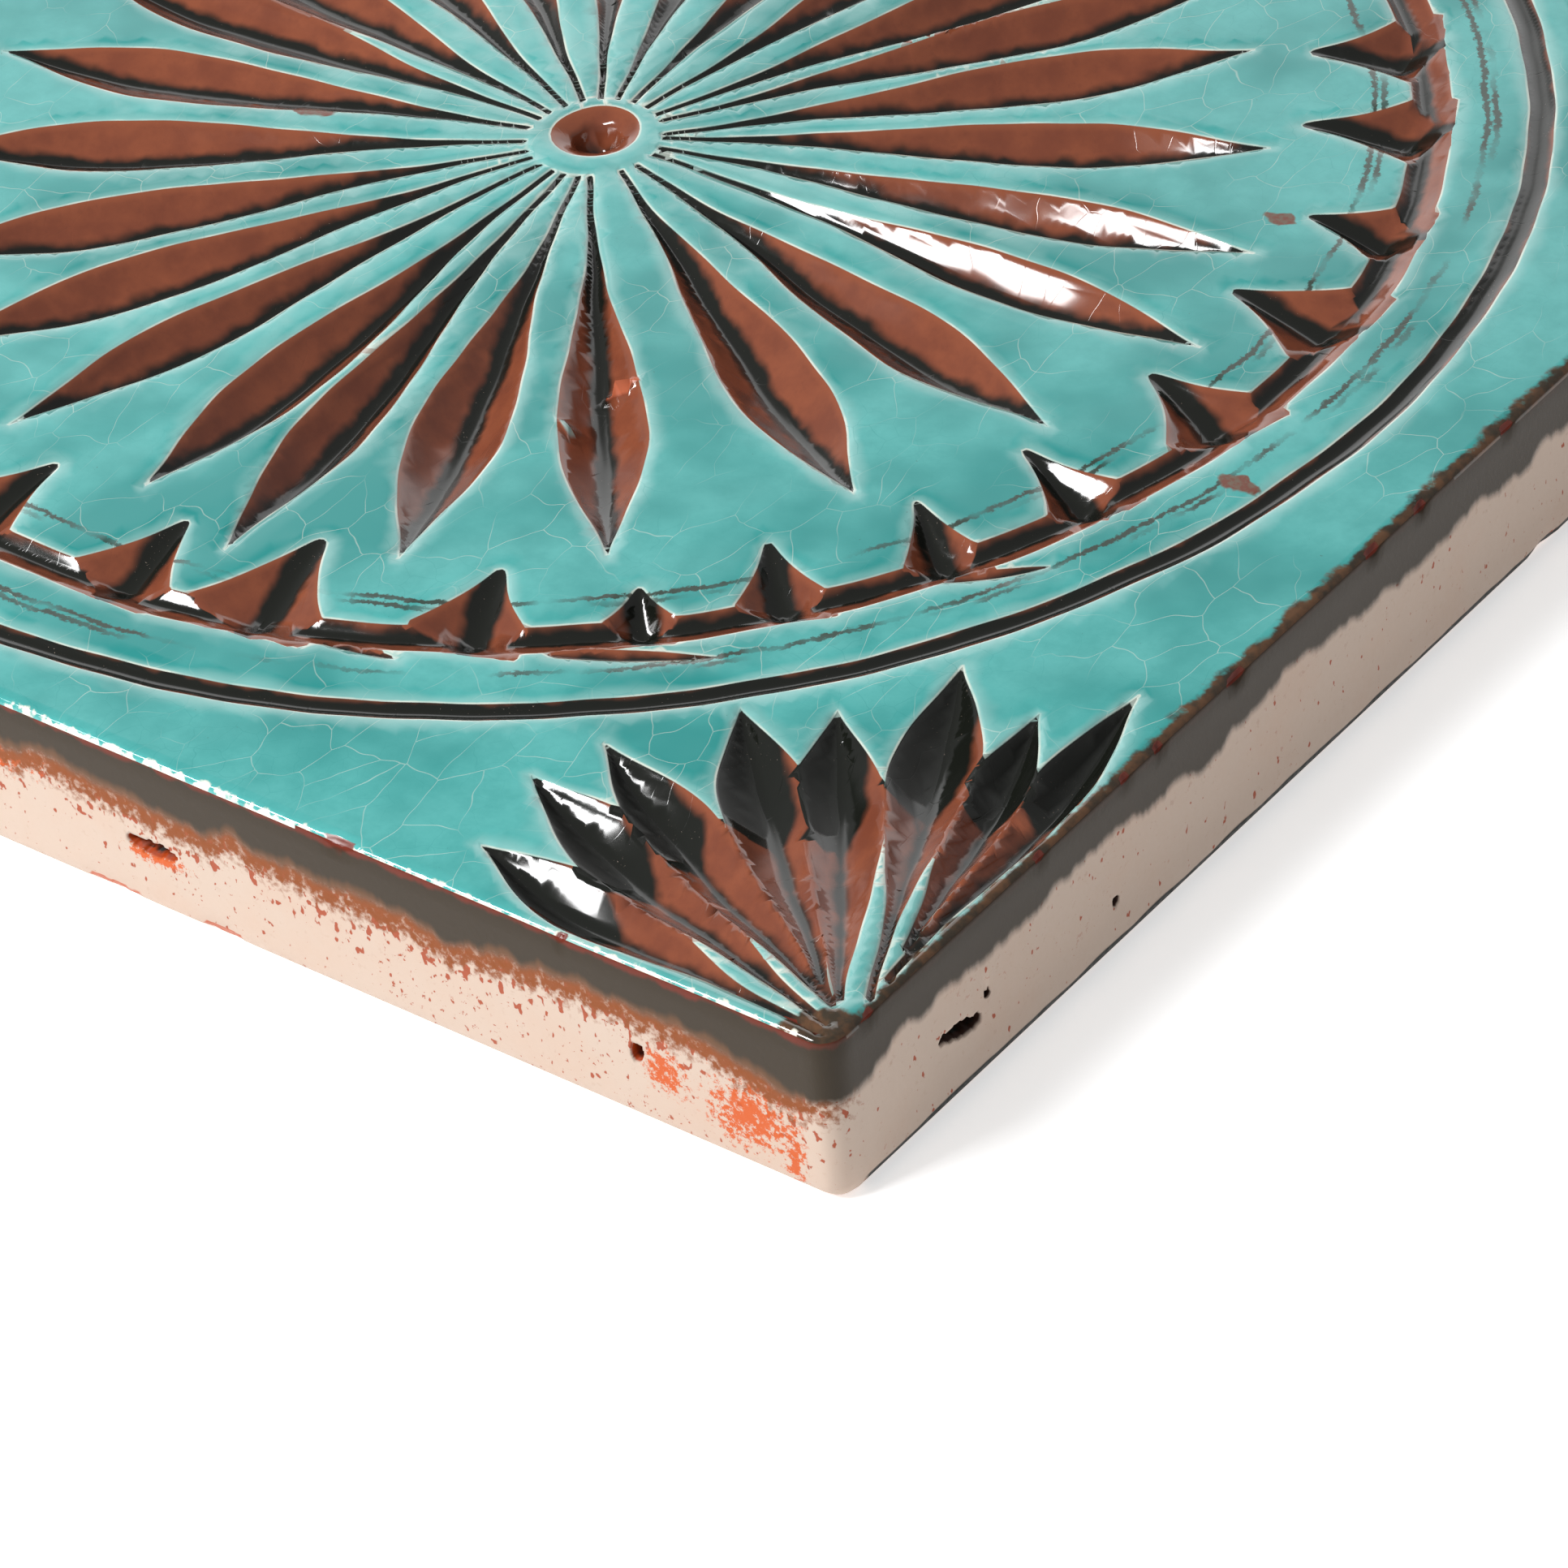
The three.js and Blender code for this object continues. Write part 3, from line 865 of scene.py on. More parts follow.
def break_chips(bm):
    """Knocks the chips off the edges."""
    layer = bm.verts.layers.float.new("chip")
    normal_layer = bm.verts.layers.float_vector["face_normal"]
    for chip in CHIPS:
        normal, along_axis = SIDES[chip.side]
        middle = Vector((0, 0, chip.height))
        middle.xy = Vector(normal) * HALF + Vector(along_axis) * chip.along
        upward = 1 if chip.height > THICKNESS / 2 else -1
        spread = CHIP_SPREAD_FACE if upward > 0 else CHIP_SPREAD_BACK
        inward = Vector((-normal[0], -normal[1], -upward)).normalized()
        for vert in bm.verts:
            offset = vert.co / MM - middle
            if max(abs(offset.x), abs(offset.y)) > CHIP_REACH:
                continue
            along = offset.x * along_axis[0] + offset.y * along_axis[1]
            across = math.sqrt(max(offset.length_squared - along * along, 0))
            ragged = CHIP_RAGGED * noise.noise(vert.co / MM * CHIP_LUMPS)
            reach = math.hypot(along / chip.half_length, across / spread) + ragged
            if reach < 1:
                bitten = float(rise((1 - reach) / CHIP_RIM_FALL))
                vert.co += inward * chip.bite * bitten * MM
                vert[layer] = max(vert[layer], bitten)
                vert[normal_layer] = (0, 0, 0)


def blot(offset, half_length, half_height):
    """A soft blot: 1 in the middle, and fading out past its half length and half height."""
    return max(0, 1 - math.hypot(offset[0] / half_length, offset[1] / half_height) / BLOT_SPREAD)


def by_side(values, co, reach):
    """A value that belongs to the sides, blended where two sides meet."""
    weights = {side: max(0, 1 - on_side(side, co)[2] / reach) for side in SIDES}
    total = sum(weights.values())
    return sum(values[side] * weight for side, weight in weights.items()) / total if total else 0


def creep(co):
    """How far a place on the face lies inside the dark glaze that creeps up from the sides."""
    x, y = (abs(c) / MM for c in co.xy)
    inside = HALF - max(x, y)
    if inside > CREEP_REACH:
        return -FAR
    corner = CREEP_AT_CORNER - math.hypot(HALF - x, HALF - y)
    return max(by_side(CREEP_ON_SIDE, co, CREEP_REACH) - inside, corner)


def note_marks(bm):
    """Notes the stains, the bare spots and the dark glaze of the sides on each vertex."""
    names = ("bare", "rust", "stain", "creep", "lip")
    bare, rust, stain, crept, lip = [bm.verts.layers.float.new(name) for name in names]
    for vert in bm.verts:
        x, y, z = vert.co / MM
        if z > THICKNESS - FACE_MARKS_DROP:
            vert[bare] = max(blot((x - mx, y - my), hx, hy) for mx, my, hx, hy in BARE_SPOTS)
            vert[crept] = creep(vert.co)
            vert[lip] = by_side(LIP_AND_HIGHLIGHT_ON_SIDE, vert.co, SIDE_REACH) - (HALF - max(abs(x), abs(y)))
        vert[rust] = by_side(RUST_ON_SIDE, vert.co, SIDE_REACH)
        for side, along, drop, half_length, half_height in STAINS:
            here_along, here_drop, inside = on_side(side, vert.co)
            if inside < STAIN_REACH:
                spot = blot((here_along - along, here_drop - drop), half_length, half_height)
                vert[stain] = max(vert[stain], spot)


def sort_finishes(bm):
    """Gives each face its finish: glazed face, slipped side or fired back."""
    for face in bm.faces:
        face.smooth = True
        middle = face.calc_center_median() / MM
        inside = min(HALF - abs(middle.x), HALF - abs(middle.y))
        on_top = middle.z > THICKNESS - FACE_FINISH_DROP
        if on_top or inside > FACE_FINISH_INSIDE and middle.z > FACE_FINISH_LOWEST:
            face.material_index = GLAZED_FACE
        elif middle.z > BACK_FINISH_TOP:
            face.material_index = SLIPPED_SIDE
        else:
            face.material_index = FIRED_BACK


def set_normals(mesh):
    """Shades the face with the normals noted on it; a zero leaves a vertex its own."""
    noted = mesh.attributes["face_normal"]
    normals = np.zeros(3 * len(mesh.vertices))
    noted.data.foreach_get("vector", normals)
    mesh.normals_split_custom_set_from_vertices(normals.reshape(-1, 3).tolist())
    mesh.attributes.remove(noted)


def tile_mesh(sizes):
    """The whole tile as one closed mesh."""
    cuts = all_cuts(sizes)
    bm = bmesh.new()
    bmesh.ops.create_grid(bm, x_segments=GRID_CELLS, y_segments=GRID_CELLS, size=(HALF - FACE_ROUND) * MM)
    refine(bm, cuts)
    crease_carving(bm, cuts)
    round_corners(bm)
    press_carving(bm, cuts)
    build_sides(bm)
    dig_holes(bm)
    break_chips(bm)
    note_marks(bm)
    bmesh.ops.recalc_face_normals(bm, faces=bm.faces)
    sort_finishes(bm)
    mesh = bpy.data.meshes.new("glazed_tile")
    bm.to_mesh(mesh)
    bm.free()
    set_normals(mesh)
    return mesh


# Materials


class Tree:
    """Adds and joins the nodes of a material or a node group."""

    def __init__(self, tree):
        self.tree = tree

    def node(self, kind, **settings):
        """A new node with its settings."""
        node = self.tree.nodes.new(kind)
        for name, value in settings.items():
            setattr(node, name, value)
        return node

    def feed(self, socket, value):
        """Joins a socket to another, or sets its value."""
        if isinstance(value, bpy.types.NodeSocket):
            self.tree.links.new(value, socket)
        else:
            socket.default_value = value

    def maths(self, operation, *values):
        """One step of arithmetic."""
        node = self.node("ShaderNodeMath", operation=operation)
        for socket, value in zip(node.inputs, values):
            self.feed(socket, value)
        return node.outputs[0]

    def plus(self, first, second):
        """The sum of two values."""
        return self.maths("ADD", first, second)

    def minus(self, first, second):
        """The difference of two values."""
        return self.maths("SUBTRACT", first, second)

    def times(self, first, second):
        """The product of two values."""
        return self.maths("MULTIPLY", first, second)

    def larger(self, first, second):
        """The larger of two values."""
        return self.maths("MAXIMUM", first, second)

    def ramp(self, value, start, end, low=0.0, high=1.0):
        """A smooth change from low to high as the value goes from start to end."""
        node = self.node("ShaderNodeMapRange", interpolation_type="SMOOTHSTEP")
        for socket, given in zip(node.inputs, (value, start, end, low, high)):
            self.feed(socket, given)
        return node.outputs[0]

    def mix(self, share, first, second):
        """One colour over another."""
        node = self.node("ShaderNodeMix", data_type="RGBA")
        self.feed(node.inputs[0], share)
        self.feed(node.inputs[6], first)
        self.feed(node.inputs[7], second)
        return node.outputs[2]

    def blend(self, share, first, second):
        """One number over another."""
        node = self.node("ShaderNodeMix", data_type="FLOAT")
        self.feed(node.inputs[0], share)
        self.feed(node.inputs[2], first)
        self.feed(node.inputs[3], second)
        return node.outputs[0]

    def attribute(self, name):
        """A value noted on the mesh."""
        return self.node("ShaderNodeAttribute", attribute_name=name).outputs["Fac"]

    def place(self):
        """The place on the tile, in mm."""
        coordinates = self.node("ShaderNodeTexCoord")
        scaled = self.node("ShaderNodeVectorMath", operation="SCALE")
        self.feed(scaled.inputs[0], coordinates.outputs["Object"])
        scaled.inputs["Scale"].default_value = 1 / MM
        return scaled.outputs[0]

    def stretch(self, place, scale):
        """A place stretched along the axes."""
        node = self.node("ShaderNodeMapping")
        self.feed(node.inputs["Vector"], place)
        node.inputs["Scale"].default_value = scale
        return node.outputs[0]

    def noise(self, place, size, detail=2.0, roughness=0.5):
        """Cloudy noise with lumps of about that size in mm."""
        node = self.node("ShaderNodeTexNoise")
        self.feed(node.inputs["Vector"], place)
        node.inputs["Scale"].default_value = 1 / size
        node.inputs["Detail"].default_value = detail
        node.inputs["Roughness"].default_value = roughness
        return node.outputs["Fac"]

    def swing(self, place, size, reach, detail=2.0, roughness=0.5):
        """Cloudy noise that swings by reach to both sides of zero."""
        return self.ramp(self.noise(place, size, detail, roughness), 0.28, 0.72, -reach, reach)

    def wander(self, value, place, size, reach, detail=2.0, roughness=0.5):
        """A value that wanders by reach to both sides with cloudy noise."""
        return self.plus(value, self.swing(place, size, reach, detail, roughness))

    def bump(self, height, strength, distance, normal=None):
        """A bumped normal, with heights in mm."""
        node = self.node("ShaderNodeBump")
        node.inputs["Strength"].default_value = strength
        node.inputs["Distance"].default_value = distance * MM
        self.feed(node.inputs["Height"], height)
        if normal is not None:
            self.feed(node.inputs["Normal"], normal)
        return node.outputs[0]


def new_material(name):
    """An empty material, its tree and its shader."""
    material = bpy.data.materials.new(name)
    material.use_nodes = True
    tree = Tree(material.node_tree)
    shader = next(node for node in material.node_tree.nodes if node.type == "BSDF_PRINCIPLED")
    return material, tree, shader


def grain_group():
    """Node group: small specks, thicker in patches, and the grain of fired clay."""
    group = bpy.data.node_groups.new("clay_grain", "ShaderNodeTree")
    group.interface.new_socket("Place", in_out="INPUT", socket_type="NodeSocketVector")
    group.interface.new_socket("Speck size", in_out="INPUT", socket_type="NodeSocketFloat")
    group.interface.new_socket("Cover", in_out="INPUT", socket_type="NodeSocketFloat")
    group.interface.new_socket("Specks", in_out="OUTPUT", socket_type="NodeSocketFloat")
    group.interface.new_socket("Grain", in_out="OUTPUT", socket_type="NodeSocketFloat")
    tree = Tree(group)
    given = tree.node("NodeGroupInput").outputs
    out = tree.node("NodeGroupOutput").inputs
    shrunk = tree.node("ShaderNodeVectorMath", operation="DIVIDE")
    spread = tree.node("ShaderNodeCombineXYZ")
    for socket in spread.inputs:
        tree.feed(socket, given["Speck size"])
    tree.feed(shrunk.inputs[0], given["Place"])
    tree.feed(shrunk.inputs[1], spread.outputs[0])
    lumps = tree.noise(shrunk.outputs[0], 1, detail=3, roughness=0.6)
    patches = tree.noise(given["Place"], 6, detail=2)
    threshold = tree.minus(0.86, tree.times(given["Cover"], patches))
    tree.feed(out["Specks"], tree.ramp(tree.minus(lumps, threshold), 0, 0.04))
    tree.feed(out["Grain"], tree.noise(given["Place"], 0.5, detail=4, roughness=0.6))
    return group


def add_grain(tree, group, place, speck_size, cover):
    """Places the clay grain group; returns its specks and its grain."""
    node = tree.node("ShaderNodeGroup", node_tree=group)
    tree.feed(node.inputs["Place"], place)
    node.inputs["Speck size"].default_value = speck_size
    node.inputs["Cover"].default_value = cover
    return node.outputs["Specks"], node.outputs["Grain"]


def cracks(tree, place, size, wander, width):
    """A net of fine curved cracks, as a mask."""
    drift = tree.node("ShaderNodeTexNoise")
    tree.feed(drift.inputs["Vector"], place)
    drift.inputs["Scale"].default_value = 0.7 / size
    drift.inputs["Detail"].default_value = 2
    shifted = tree.node("ShaderNodeVectorMath", operation="MULTIPLY_ADD")
    tree.feed(shifted.inputs[0], drift.outputs["Color"])
    shifted.inputs[1].default_value = (wander, wander, wander)
    tree.feed(shifted.inputs[2], place)
    cells = tree.node("ShaderNodeTexVoronoi", feature="DISTANCE_TO_EDGE", voronoi_dimensions="2D")
    tree.feed(cells.inputs["Vector"], shifted.outputs[0])
    cells.inputs["Scale"].default_value = 1 / size
    return tree.ramp(cells.outputs["Distance"], 0.0, width / size, 1.0, 0.0)


def crazing(tree, place):
    """The crazing of the glaze, as masks: long cracks, and shorter ones in patches."""
    shown = tree.ramp(tree.noise(place, 9), 0.38, 0.6)
    drawn_out = tree.stretch(place, (1, 0.6, 1))
    long_cracks = tree.times(cracks(tree, drawn_out, 3.2, 2.6, 0.04), shown)
    patches = tree.ramp(tree.noise(place, 13), 0.42, 0.62)
    short_cracks = tree.times(cracks(tree, place, 2.2, 2.2, 0.04), patches)
    return long_cracks, short_cracks


def scribed_lines(tree, place):
    """The marking-out lines scribed round the teeth, as a mask with gaps."""
    centred = tree.node("ShaderNodeVectorMath", operation="SUBTRACT")
    tree.feed(centred.inputs[0], tree.stretch(place, (1, 1, 0)))
    centred.inputs[1].default_value = (*ROSETTE_CENTRE, 0)
    length = tree.node("ShaderNodeVectorMath", operation="LENGTH")
    tree.feed(length.inputs[0], centred.outputs[0])
    radius = tree.wander(length.outputs["Value"], place, 4, 0.15)
    gritty = tree.swing(place, 0.5, 0.16, detail=3, roughness=0.7)
    lines = []
    for line_radius, brokenness in SCRIBED_LINES:
        off = tree.maths("ABSOLUTE", tree.minus(radius, line_radius))
        line = tree.ramp(tree.plus(off, gritty), 0.14, 0.3, 1, 0)
        patches = tree.noise(place, 10 + 8 * brokenness, detail=3, roughness=0.6)
        lines.append(tree.times(line, tree.ramp(patches, brokenness, brokenness + 0.14)))
    return functools.reduce(tree.larger, lines)


def glaze_colour(tree, colours, place, edge, long_cracks, short_cracks):
    """Turquoise glaze: deep and thin places, a pale rim along the cuts that is partly white slip and partly a
    painted highlight of the rounded edge, and crazing.
    """
    thick = tree.ramp(tree.noise(place, 17, detail=3, roughness=0.55), 0.4, 0.64)
    ground = tree.mix(thick, colours.glaze, colours.glaze_deep)
    cloud = tree.ramp(tree.noise(place, 3, detail=4, roughness=0.65), 0.3, 0.75, 0, 0.4)
    ground = tree.mix(cloud, ground, colours.glaze_deep)
    reach = tree.ramp(tree.noise(place, 5, detail=2), 0.3, 0.7, 0.7, 1.8)
    halo = tree.ramp(tree.maths("DIVIDE", edge, reach), 0.0, 1.0, 0.42, 0.0)
    ground = tree.mix(halo, ground, colours.glaze_thin)
    # A white rim along each cut: white slip where the glaze breaks over the edge, and partly a painted
    # highlight of the rounded edge
    strength = tree.ramp(tree.noise(place, 4, detail=2), 0.35, 0.65, 0.15, 0.7)
    rim = tree.times(tree.ramp(edge, 0.04, 0.22, 1.0, 0.0), strength)
    ground = tree.mix(rim, ground, colours.rim)
    ground = tree.mix(tree.times(long_cracks, 0.32), ground, colours.rim)
    return tree.mix(tree.times(short_cracks, 0.35), ground, colours.glaze_deep)


def cut_colour(tree, colours, place, edge, pool, grain, grit):
    """Cut clay under clear glaze: bright under the edge, from thin glaze and a painted highlight, black where
    the glaze has pooled.
    """
    lit = tree.ramp(tree.noise(place, 3.2, detail=4, roughness=0.55), 0.3, 0.72, 0.2, 0.8)
    wall = tree.mix(lit, colours.clay, colours.clay_bright)
    wall = tree.mix(tree.ramp(grain, 0.52, 0.72, 0, 0.25), wall, colours.clay)
    # Brighter clay just under the cut edge: thin glaze there, and a painted highlight of the edge
    painted_edge_highlight = tree.ramp(edge, -0.5, -0.05, 0, 0.7)
    wall = tree.mix(painted_edge_highlight, wall, colours.clay_bright)
    # Black where the glaze has pooled; at a leaf's tip this also holds the painted shade on one wall
    pooled = tree.ramp(tree.wander(pool, place, 2.5, 0.18), -0.3, 0.4, 1.0, 0.0)
    wall = tree.mix(pooled, wall, colours.pool)
    return tree.mix(tree.times(tree.times(grit, pooled), 0.5), wall, colours.slip)


def rim_glaze(tree, colours, place, colour):
    """The rim of the face: dark glaze crept up from the sides, and along the very edge a white line that is
    white slip and, on the lit sides, a painted highlight.
    """
    crept = tree.wander(tree.attribute("creep"), place, 2.2, 0.45, detail=4, roughness=0.6)
    patches = tree.ramp(tree.noise(place, 1.4, detail=4), 0.35, 0.65)
    shade = tree.mix(patches, colours.band, colours.band_brown)
    colour = tree.mix(tree.ramp(crept, -0.15, 0.45), colour, shade)
    # The white line along the face's edge: white slip, with a painted highlight where the edge faces the
    # light
    lip = tree.wander(tree.attribute("lip"), place, 1.1, 0.3, detail=4)
    return tree.mix(tree.ramp(lip, 0.1, 0.3, 0, 0.95), colour, colours.rim)


def bare_clay(tree, colours, place, grain, colour):
    """Bare spots, chips and crumbs on the face; returns the colour and a mask of the matt places."""
    spotted = tree.ramp(tree.wander(tree.attribute("bare"), place, 1.3, 0.1), 0.44, 0.56)
    mottled = tree.mix(tree.ramp(grain, 0.4, 0.6), colours.bare, colours.clay)
    colour = tree.mix(spotted, colour, mottled)
    crumb = tree.attribute("crumb")
    on_crumb = tree.ramp(crumb, 0.3, 0.7)
    broken = tree.larger(tree.ramp(tree.attribute("chip"), 0.15, 0.4), on_crumb)
    colour = tree.mix(broken, colour, tree.mix(on_crumb, colours.chip, colours.chip_fresh))
    colour = tree.mix(tree.ramp(crumb, -0.5, -0.2, 0.8, 0), colour, colours.glaze_thin)
    return colour, tree.larger(broken, spotted)


def carved_glaze(colours, grain_nodes):
    """Material of the face: turquoise glaze, cut through to red clay."""
    material, tree, shader = new_material("carved_glaze")
    place = tree.place()
    edge = tree.attribute("cut_edge")
    pool = tree.attribute("pool")
    specks, grain = add_grain(tree, grain_nodes, place, 0.3, 0.22)
    grit, _ = add_grain(tree, grain_nodes, place, 0.17, 0.26)
    long_cracks, short_cracks = crazing(tree, place)
    ground = glaze_colour(tree, colours, place, edge, long_cracks, short_cracks)
    ground = tree.mix(tree.times(specks, 0.6), ground, colours.scribed)
    ground = tree.mix(tree.times(scribed_lines(tree, place), 0.9), ground, colours.scribed)
    cut = cut_colour(tree, colours, place, edge, pool, grain, grit)
    colour = tree.mix(tree.ramp(edge, -0.03, 0.03), cut, ground)
    colour = rim_glaze(tree, colours, place, colour)
    colour, matt = bare_clay(tree, colours, place, grain, colour)
    tree.feed(shader.inputs["Base Color"], colour)
    gloss = tree.ramp(tree.noise(place, 4, detail=3), 0.3, 0.7, 0.03, 0.065)
    satin = tree.ramp(pool, -3.2, -2.2, 0.5, 0.13)
    gloss = tree.blend(tree.ramp(edge, -0.15, 0), satin, gloss)
    tree.feed(shader.inputs["Roughness"], tree.blend(matt, gloss, 0.38))
    tree.feed(shader.inputs["Normal"], tree.bump(long_cracks, 0.2, -0.02))
    shader.inputs["IOR"].default_value = 1.52
    return material


def slip_colour(tree, colours, place, below, rust, specks):
    """Cream slip, specked and stained with rust, with clay showing through below the glaze band."""
    dusty = tree.ramp(tree.noise(place, 7, detail=4, roughness=0.6), 0.4, 0.75, 0, 0.16)
    slip = tree.mix(dusty, colours.slip, colours.back)
    streaks = tree.noise(tree.stretch(place, (1, 1, 0.7)), 0.7, detail=2, roughness=0.5)
    near_band = tree.times(tree.ramp(below, 0, 6, 0.15, 0.02), rust)
    streaks = tree.ramp(tree.plus(streaks, near_band), 0.69, 0.73)
    specks = tree.times(specks, tree.ramp(rust, 0, 0.6, 0.25, 0.95))
    specked = tree.larger(specks, streaks)
    slip = tree.mix(tree.times(specked, 0.9), slip, colours.speck)
    patchy = tree.wander(tree.attribute("stain"), place, 0.4, 0.4, detail=3, roughness=0.7)
    slip = tree.mix(tree.ramp(patchy, 0.36, 0.7, 0, 0.95), slip, colours.rust)
    fringe = tree.times(tree.ramp(below, 0.4, 3.2, 1, 0), rust)
    fringe = tree.wander(fringe, place, 0.7, 0.4, detail=4, roughness=0.65)
    return tree.mix(tree.ramp(fringe, 0.25, 1.0, 0, 1), slip, colours.fringe)


def band_colour(tree, colours, level, drop, below, rust):
    """Dark run glaze: brown where it lies thin, red along the edge of the face."""
    thin = tree.times(tree.ramp(below, -1.5, 0.1), rust)
    thin = tree.wander(thin, level, 3, 0.3, detail=4)
    shade = tree.mix(tree.ramp(thin, 0.25, 0.95), colours.band, colours.band_brown)
    lip = tree.ramp(tree.wander(drop, level, 2, 0.25, detail=3), 0.5, 0.95, 0.85, 0)
    return tree.mix(tree.times(lip, rust), shade, colours.chip)


def below_band(tree, sizes, place, level, drop):
    """How far a place lies below the band of run glaze, which is wavy and hangs lower at one corner."""
    run = tree.wander(tree.swing(level, 9, 0.8), level, 2.2, 0.35, detail=3)
    corner = tree.node("ShaderNodeVectorMath", operation="DISTANCE")
    tree.feed(corner.inputs[0], tree.stretch(place, (1, 1, 0)))
    corner.inputs[1].default_value = (HALF, -HALF, 0)
    run = tree.plus(run, tree.ramp(corner.outputs["Value"], 2, 8, 1.5, 0))
    return tree.minus(tree.minus(drop, sizes.glaze_band / MM), run)


def side_wear(tree, colours, place, drop, rust, colour):
    """Wear of the sides: chips along the edges and rusty holes, with near-black painted shade inside the
    holes, and a painted contact shadow along the foot where the slip has little rust.
    """
    broken = tree.mix(tree.ramp(drop, 5, 9), colours.chip, colours.chip_fresh)
    colour = tree.mix(tree.ramp(tree.attribute("chip"), 0.06, 0.3), colour, broken)
    hole = tree.attribute("hole")
    # Holes: rust-coloured where the side is rusty, elsewhere near-black painted shade, darkest further in
    colour = tree.mix(tree.ramp(hole, 0.02, 0.2), colour, tree.mix(rust, colours.pool, colours.speck))
    hollow = tree.wander(hole, place, 0.9, 0.2, detail=3)
    rusty = tree.times(rust, tree.ramp(tree.noise(place, 1.2), 0.42, 0.55, 0, 0.6))
    colour = tree.mix(tree.ramp(hollow, 0.3, 0.65), colour, tree.mix(rusty, colours.pool, colours.speck))
    # A painted contact shadow along the foot, on the sides with little rust
    clean = tree.ramp(rust, 0.1, 0.3, 1, 0)
    foot = tree.minus(drop, tree.swing(tree.stretch(place, (1, 1, 0)), 6, 0.15))
    painted_foot_shadow = tree.times(tree.ramp(foot, THICKNESS - 1.35, THICKNESS - 1.1), clean)
    return tree.mix(painted_foot_shadow, colour, colours.pool)


def slipped_side(colours, sizes, grain_nodes):
    """Material of the sides: cream slip with rust specks under a dark, wavy band of run glaze."""
    material, tree, shader = new_material("slipped_side")
    place = tree.place()
    separate = tree.node("ShaderNodeSeparateXYZ")
    tree.feed(separate.inputs[0], place)
    drop = tree.minus(THICKNESS, separate.outputs["Z"])
    rust = tree.attribute("rust")
    specks, grain = add_grain(tree, grain_nodes, place, 0.45, 0.34)
    level = tree.stretch(place, (1, 1, 0.12))
    below = below_band(tree, sizes, place, level, drop)
    slip = slip_colour(tree, colours, place, below, rust, specks)
    banded = tree.ramp(below, -0.5, 0.45, 1, 0)
    colour = tree.mix(banded, slip, band_colour(tree, colours, level, drop, below, rust))
    tree.feed(shader.inputs["Base Color"], side_wear(tree, colours, place, drop, rust, colour))
    matt = tree.ramp(grain, 0.3, 0.7, 0.42, 0.6)
    satin = tree.ramp(grain, 0.3, 0.7, 0.12, 0.2)
    tree.feed(shader.inputs["Roughness"], tree.blend(banded, matt, satin))
    shader.inputs["Specular IOR Level"].default_value = 0.15
    run_edge = tree.bump(tree.ramp(below, -0.5, 0.15, 1, 0), 0.4, 0.1)
    tree.feed(shader.inputs["Normal"], tree.bump(grain, 0.25, 0.08, run_edge))
    return material


def fired_back(colours, grain_nodes):
    """Material of the back: unglazed clay with a pale bloom of slip."""
    material, tree, shader = new_material("fired_back")
    place = tree.place()
    specks, grain = add_grain(tree, grain_nodes, place, 0.8, 0.3)
    brushed = tree.noise(tree.stretch(place, (1, 0.25, 1)), 12, detail=5, roughness=0.65)
    colour = tree.mix(tree.ramp(brushed, 0.42, 0.68, 0, 0.7), colours.back, colours.slip)
    colour = tree.mix(tree.times(specks, 0.8), colour, colours.rust)
    tree.feed(shader.inputs["Base Color"], colour)
    tree.feed(shader.inputs["Roughness"], tree.ramp(grain, 0.3, 0.7, 0.7, 0.9))
    tree.feed(shader.inputs["Normal"], tree.bump(grain, 0.5, 0.2))
    return material


class TILE_OT_glazed_tile(bpy.types.Operator):
    """Model the carved tile and give it its glaze, slip and clay"""

    bl_idname = "tile.glazed_tile"
    bl_label = "Glazed Tile"

    def execute(self, context):
        sizes = context.scene.tile_sizes
        colours = context.scene.tile_colours
        tile = bpy.data.objects.new("glazed_tile", tile_mesh(sizes))
        context.scene.collection.objects.link(tile)
        grain = grain_group()
        tile.data.materials.append(carved_glaze(colours, grain))
        tile.data.materials.append(slipped_side(colours, sizes, grain))
        tile.data.materials.append(fired_back(colours, grain))
        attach(tile, "root")
        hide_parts(NODE)
        return {"FINISHED"}


# Stage


def add_camera(scene):
    """A camera at the photograph's viewing angle."""
    data = bpy.data.cameras.new("camera")
    data.sensor_width = SENSOR_MM
    data.lens = FOCAL_PIXELS / PHOTO_PIXELS * SENSOR_MM
    camera = bpy.data.objects.new("camera", data)
    scene.collection.objects.link(camera)
    right = CAMERA_RIGHT.normalized()
    back = right.cross(CAMERA_UP).normalized()
    up = back.cross(right)
    camera.matrix_world = Matrix((right, up, back)).transposed().to_4x4()
    camera.location = (CAMERA_FROM_FACE + Vector((0, 0, THICKNESS))) * MM
    scene.camera = camera


def add_floor(scene, settings):
    """A wide pale floor, lit a little from below so that its shadows stay faint."""
    bm = bmesh.new()
    bmesh.ops.create_grid(bm, x_segments=1, y_segments=1, size=FLOOR_HALF)
    mesh = bpy.data.meshes.new("floor")
    bm.to_mesh(mesh)
    bm.free()
    floor = bpy.data.objects.new("floor", mesh)
    material, _, shader = new_material("floor")
    shader.inputs["Base Color"].default_value = settings.floor_colour
    shader.inputs["Roughness"].default_value = FLOOR_ROUGHNESS
    shader.inputs["Emission Color"].default_value = WHITE
    shader.inputs["Emission Strength"].default_value = settings.floor_glow
    mesh.materials.append(material)
    scene.collection.objects.link(floor)
    floor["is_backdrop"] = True


def add_key(scene, settings):
    """A soft light, high in front and a little to the left."""
    data = bpy.data.lights.new("key", "AREA")
    data.shape = "RECTANGLE"
    data.size, data.size_y = KEY_SIZE
    data.energy = settings.key_power
    key = bpy.data.objects.new("key", data)
    key.location = KEY_DIRECTION * KEY_DISTANCE
    key.rotation_euler = KEY_DIRECTION.to_track_quat("Z", "Y").to_euler()
    scene.collection.objects.link(key)


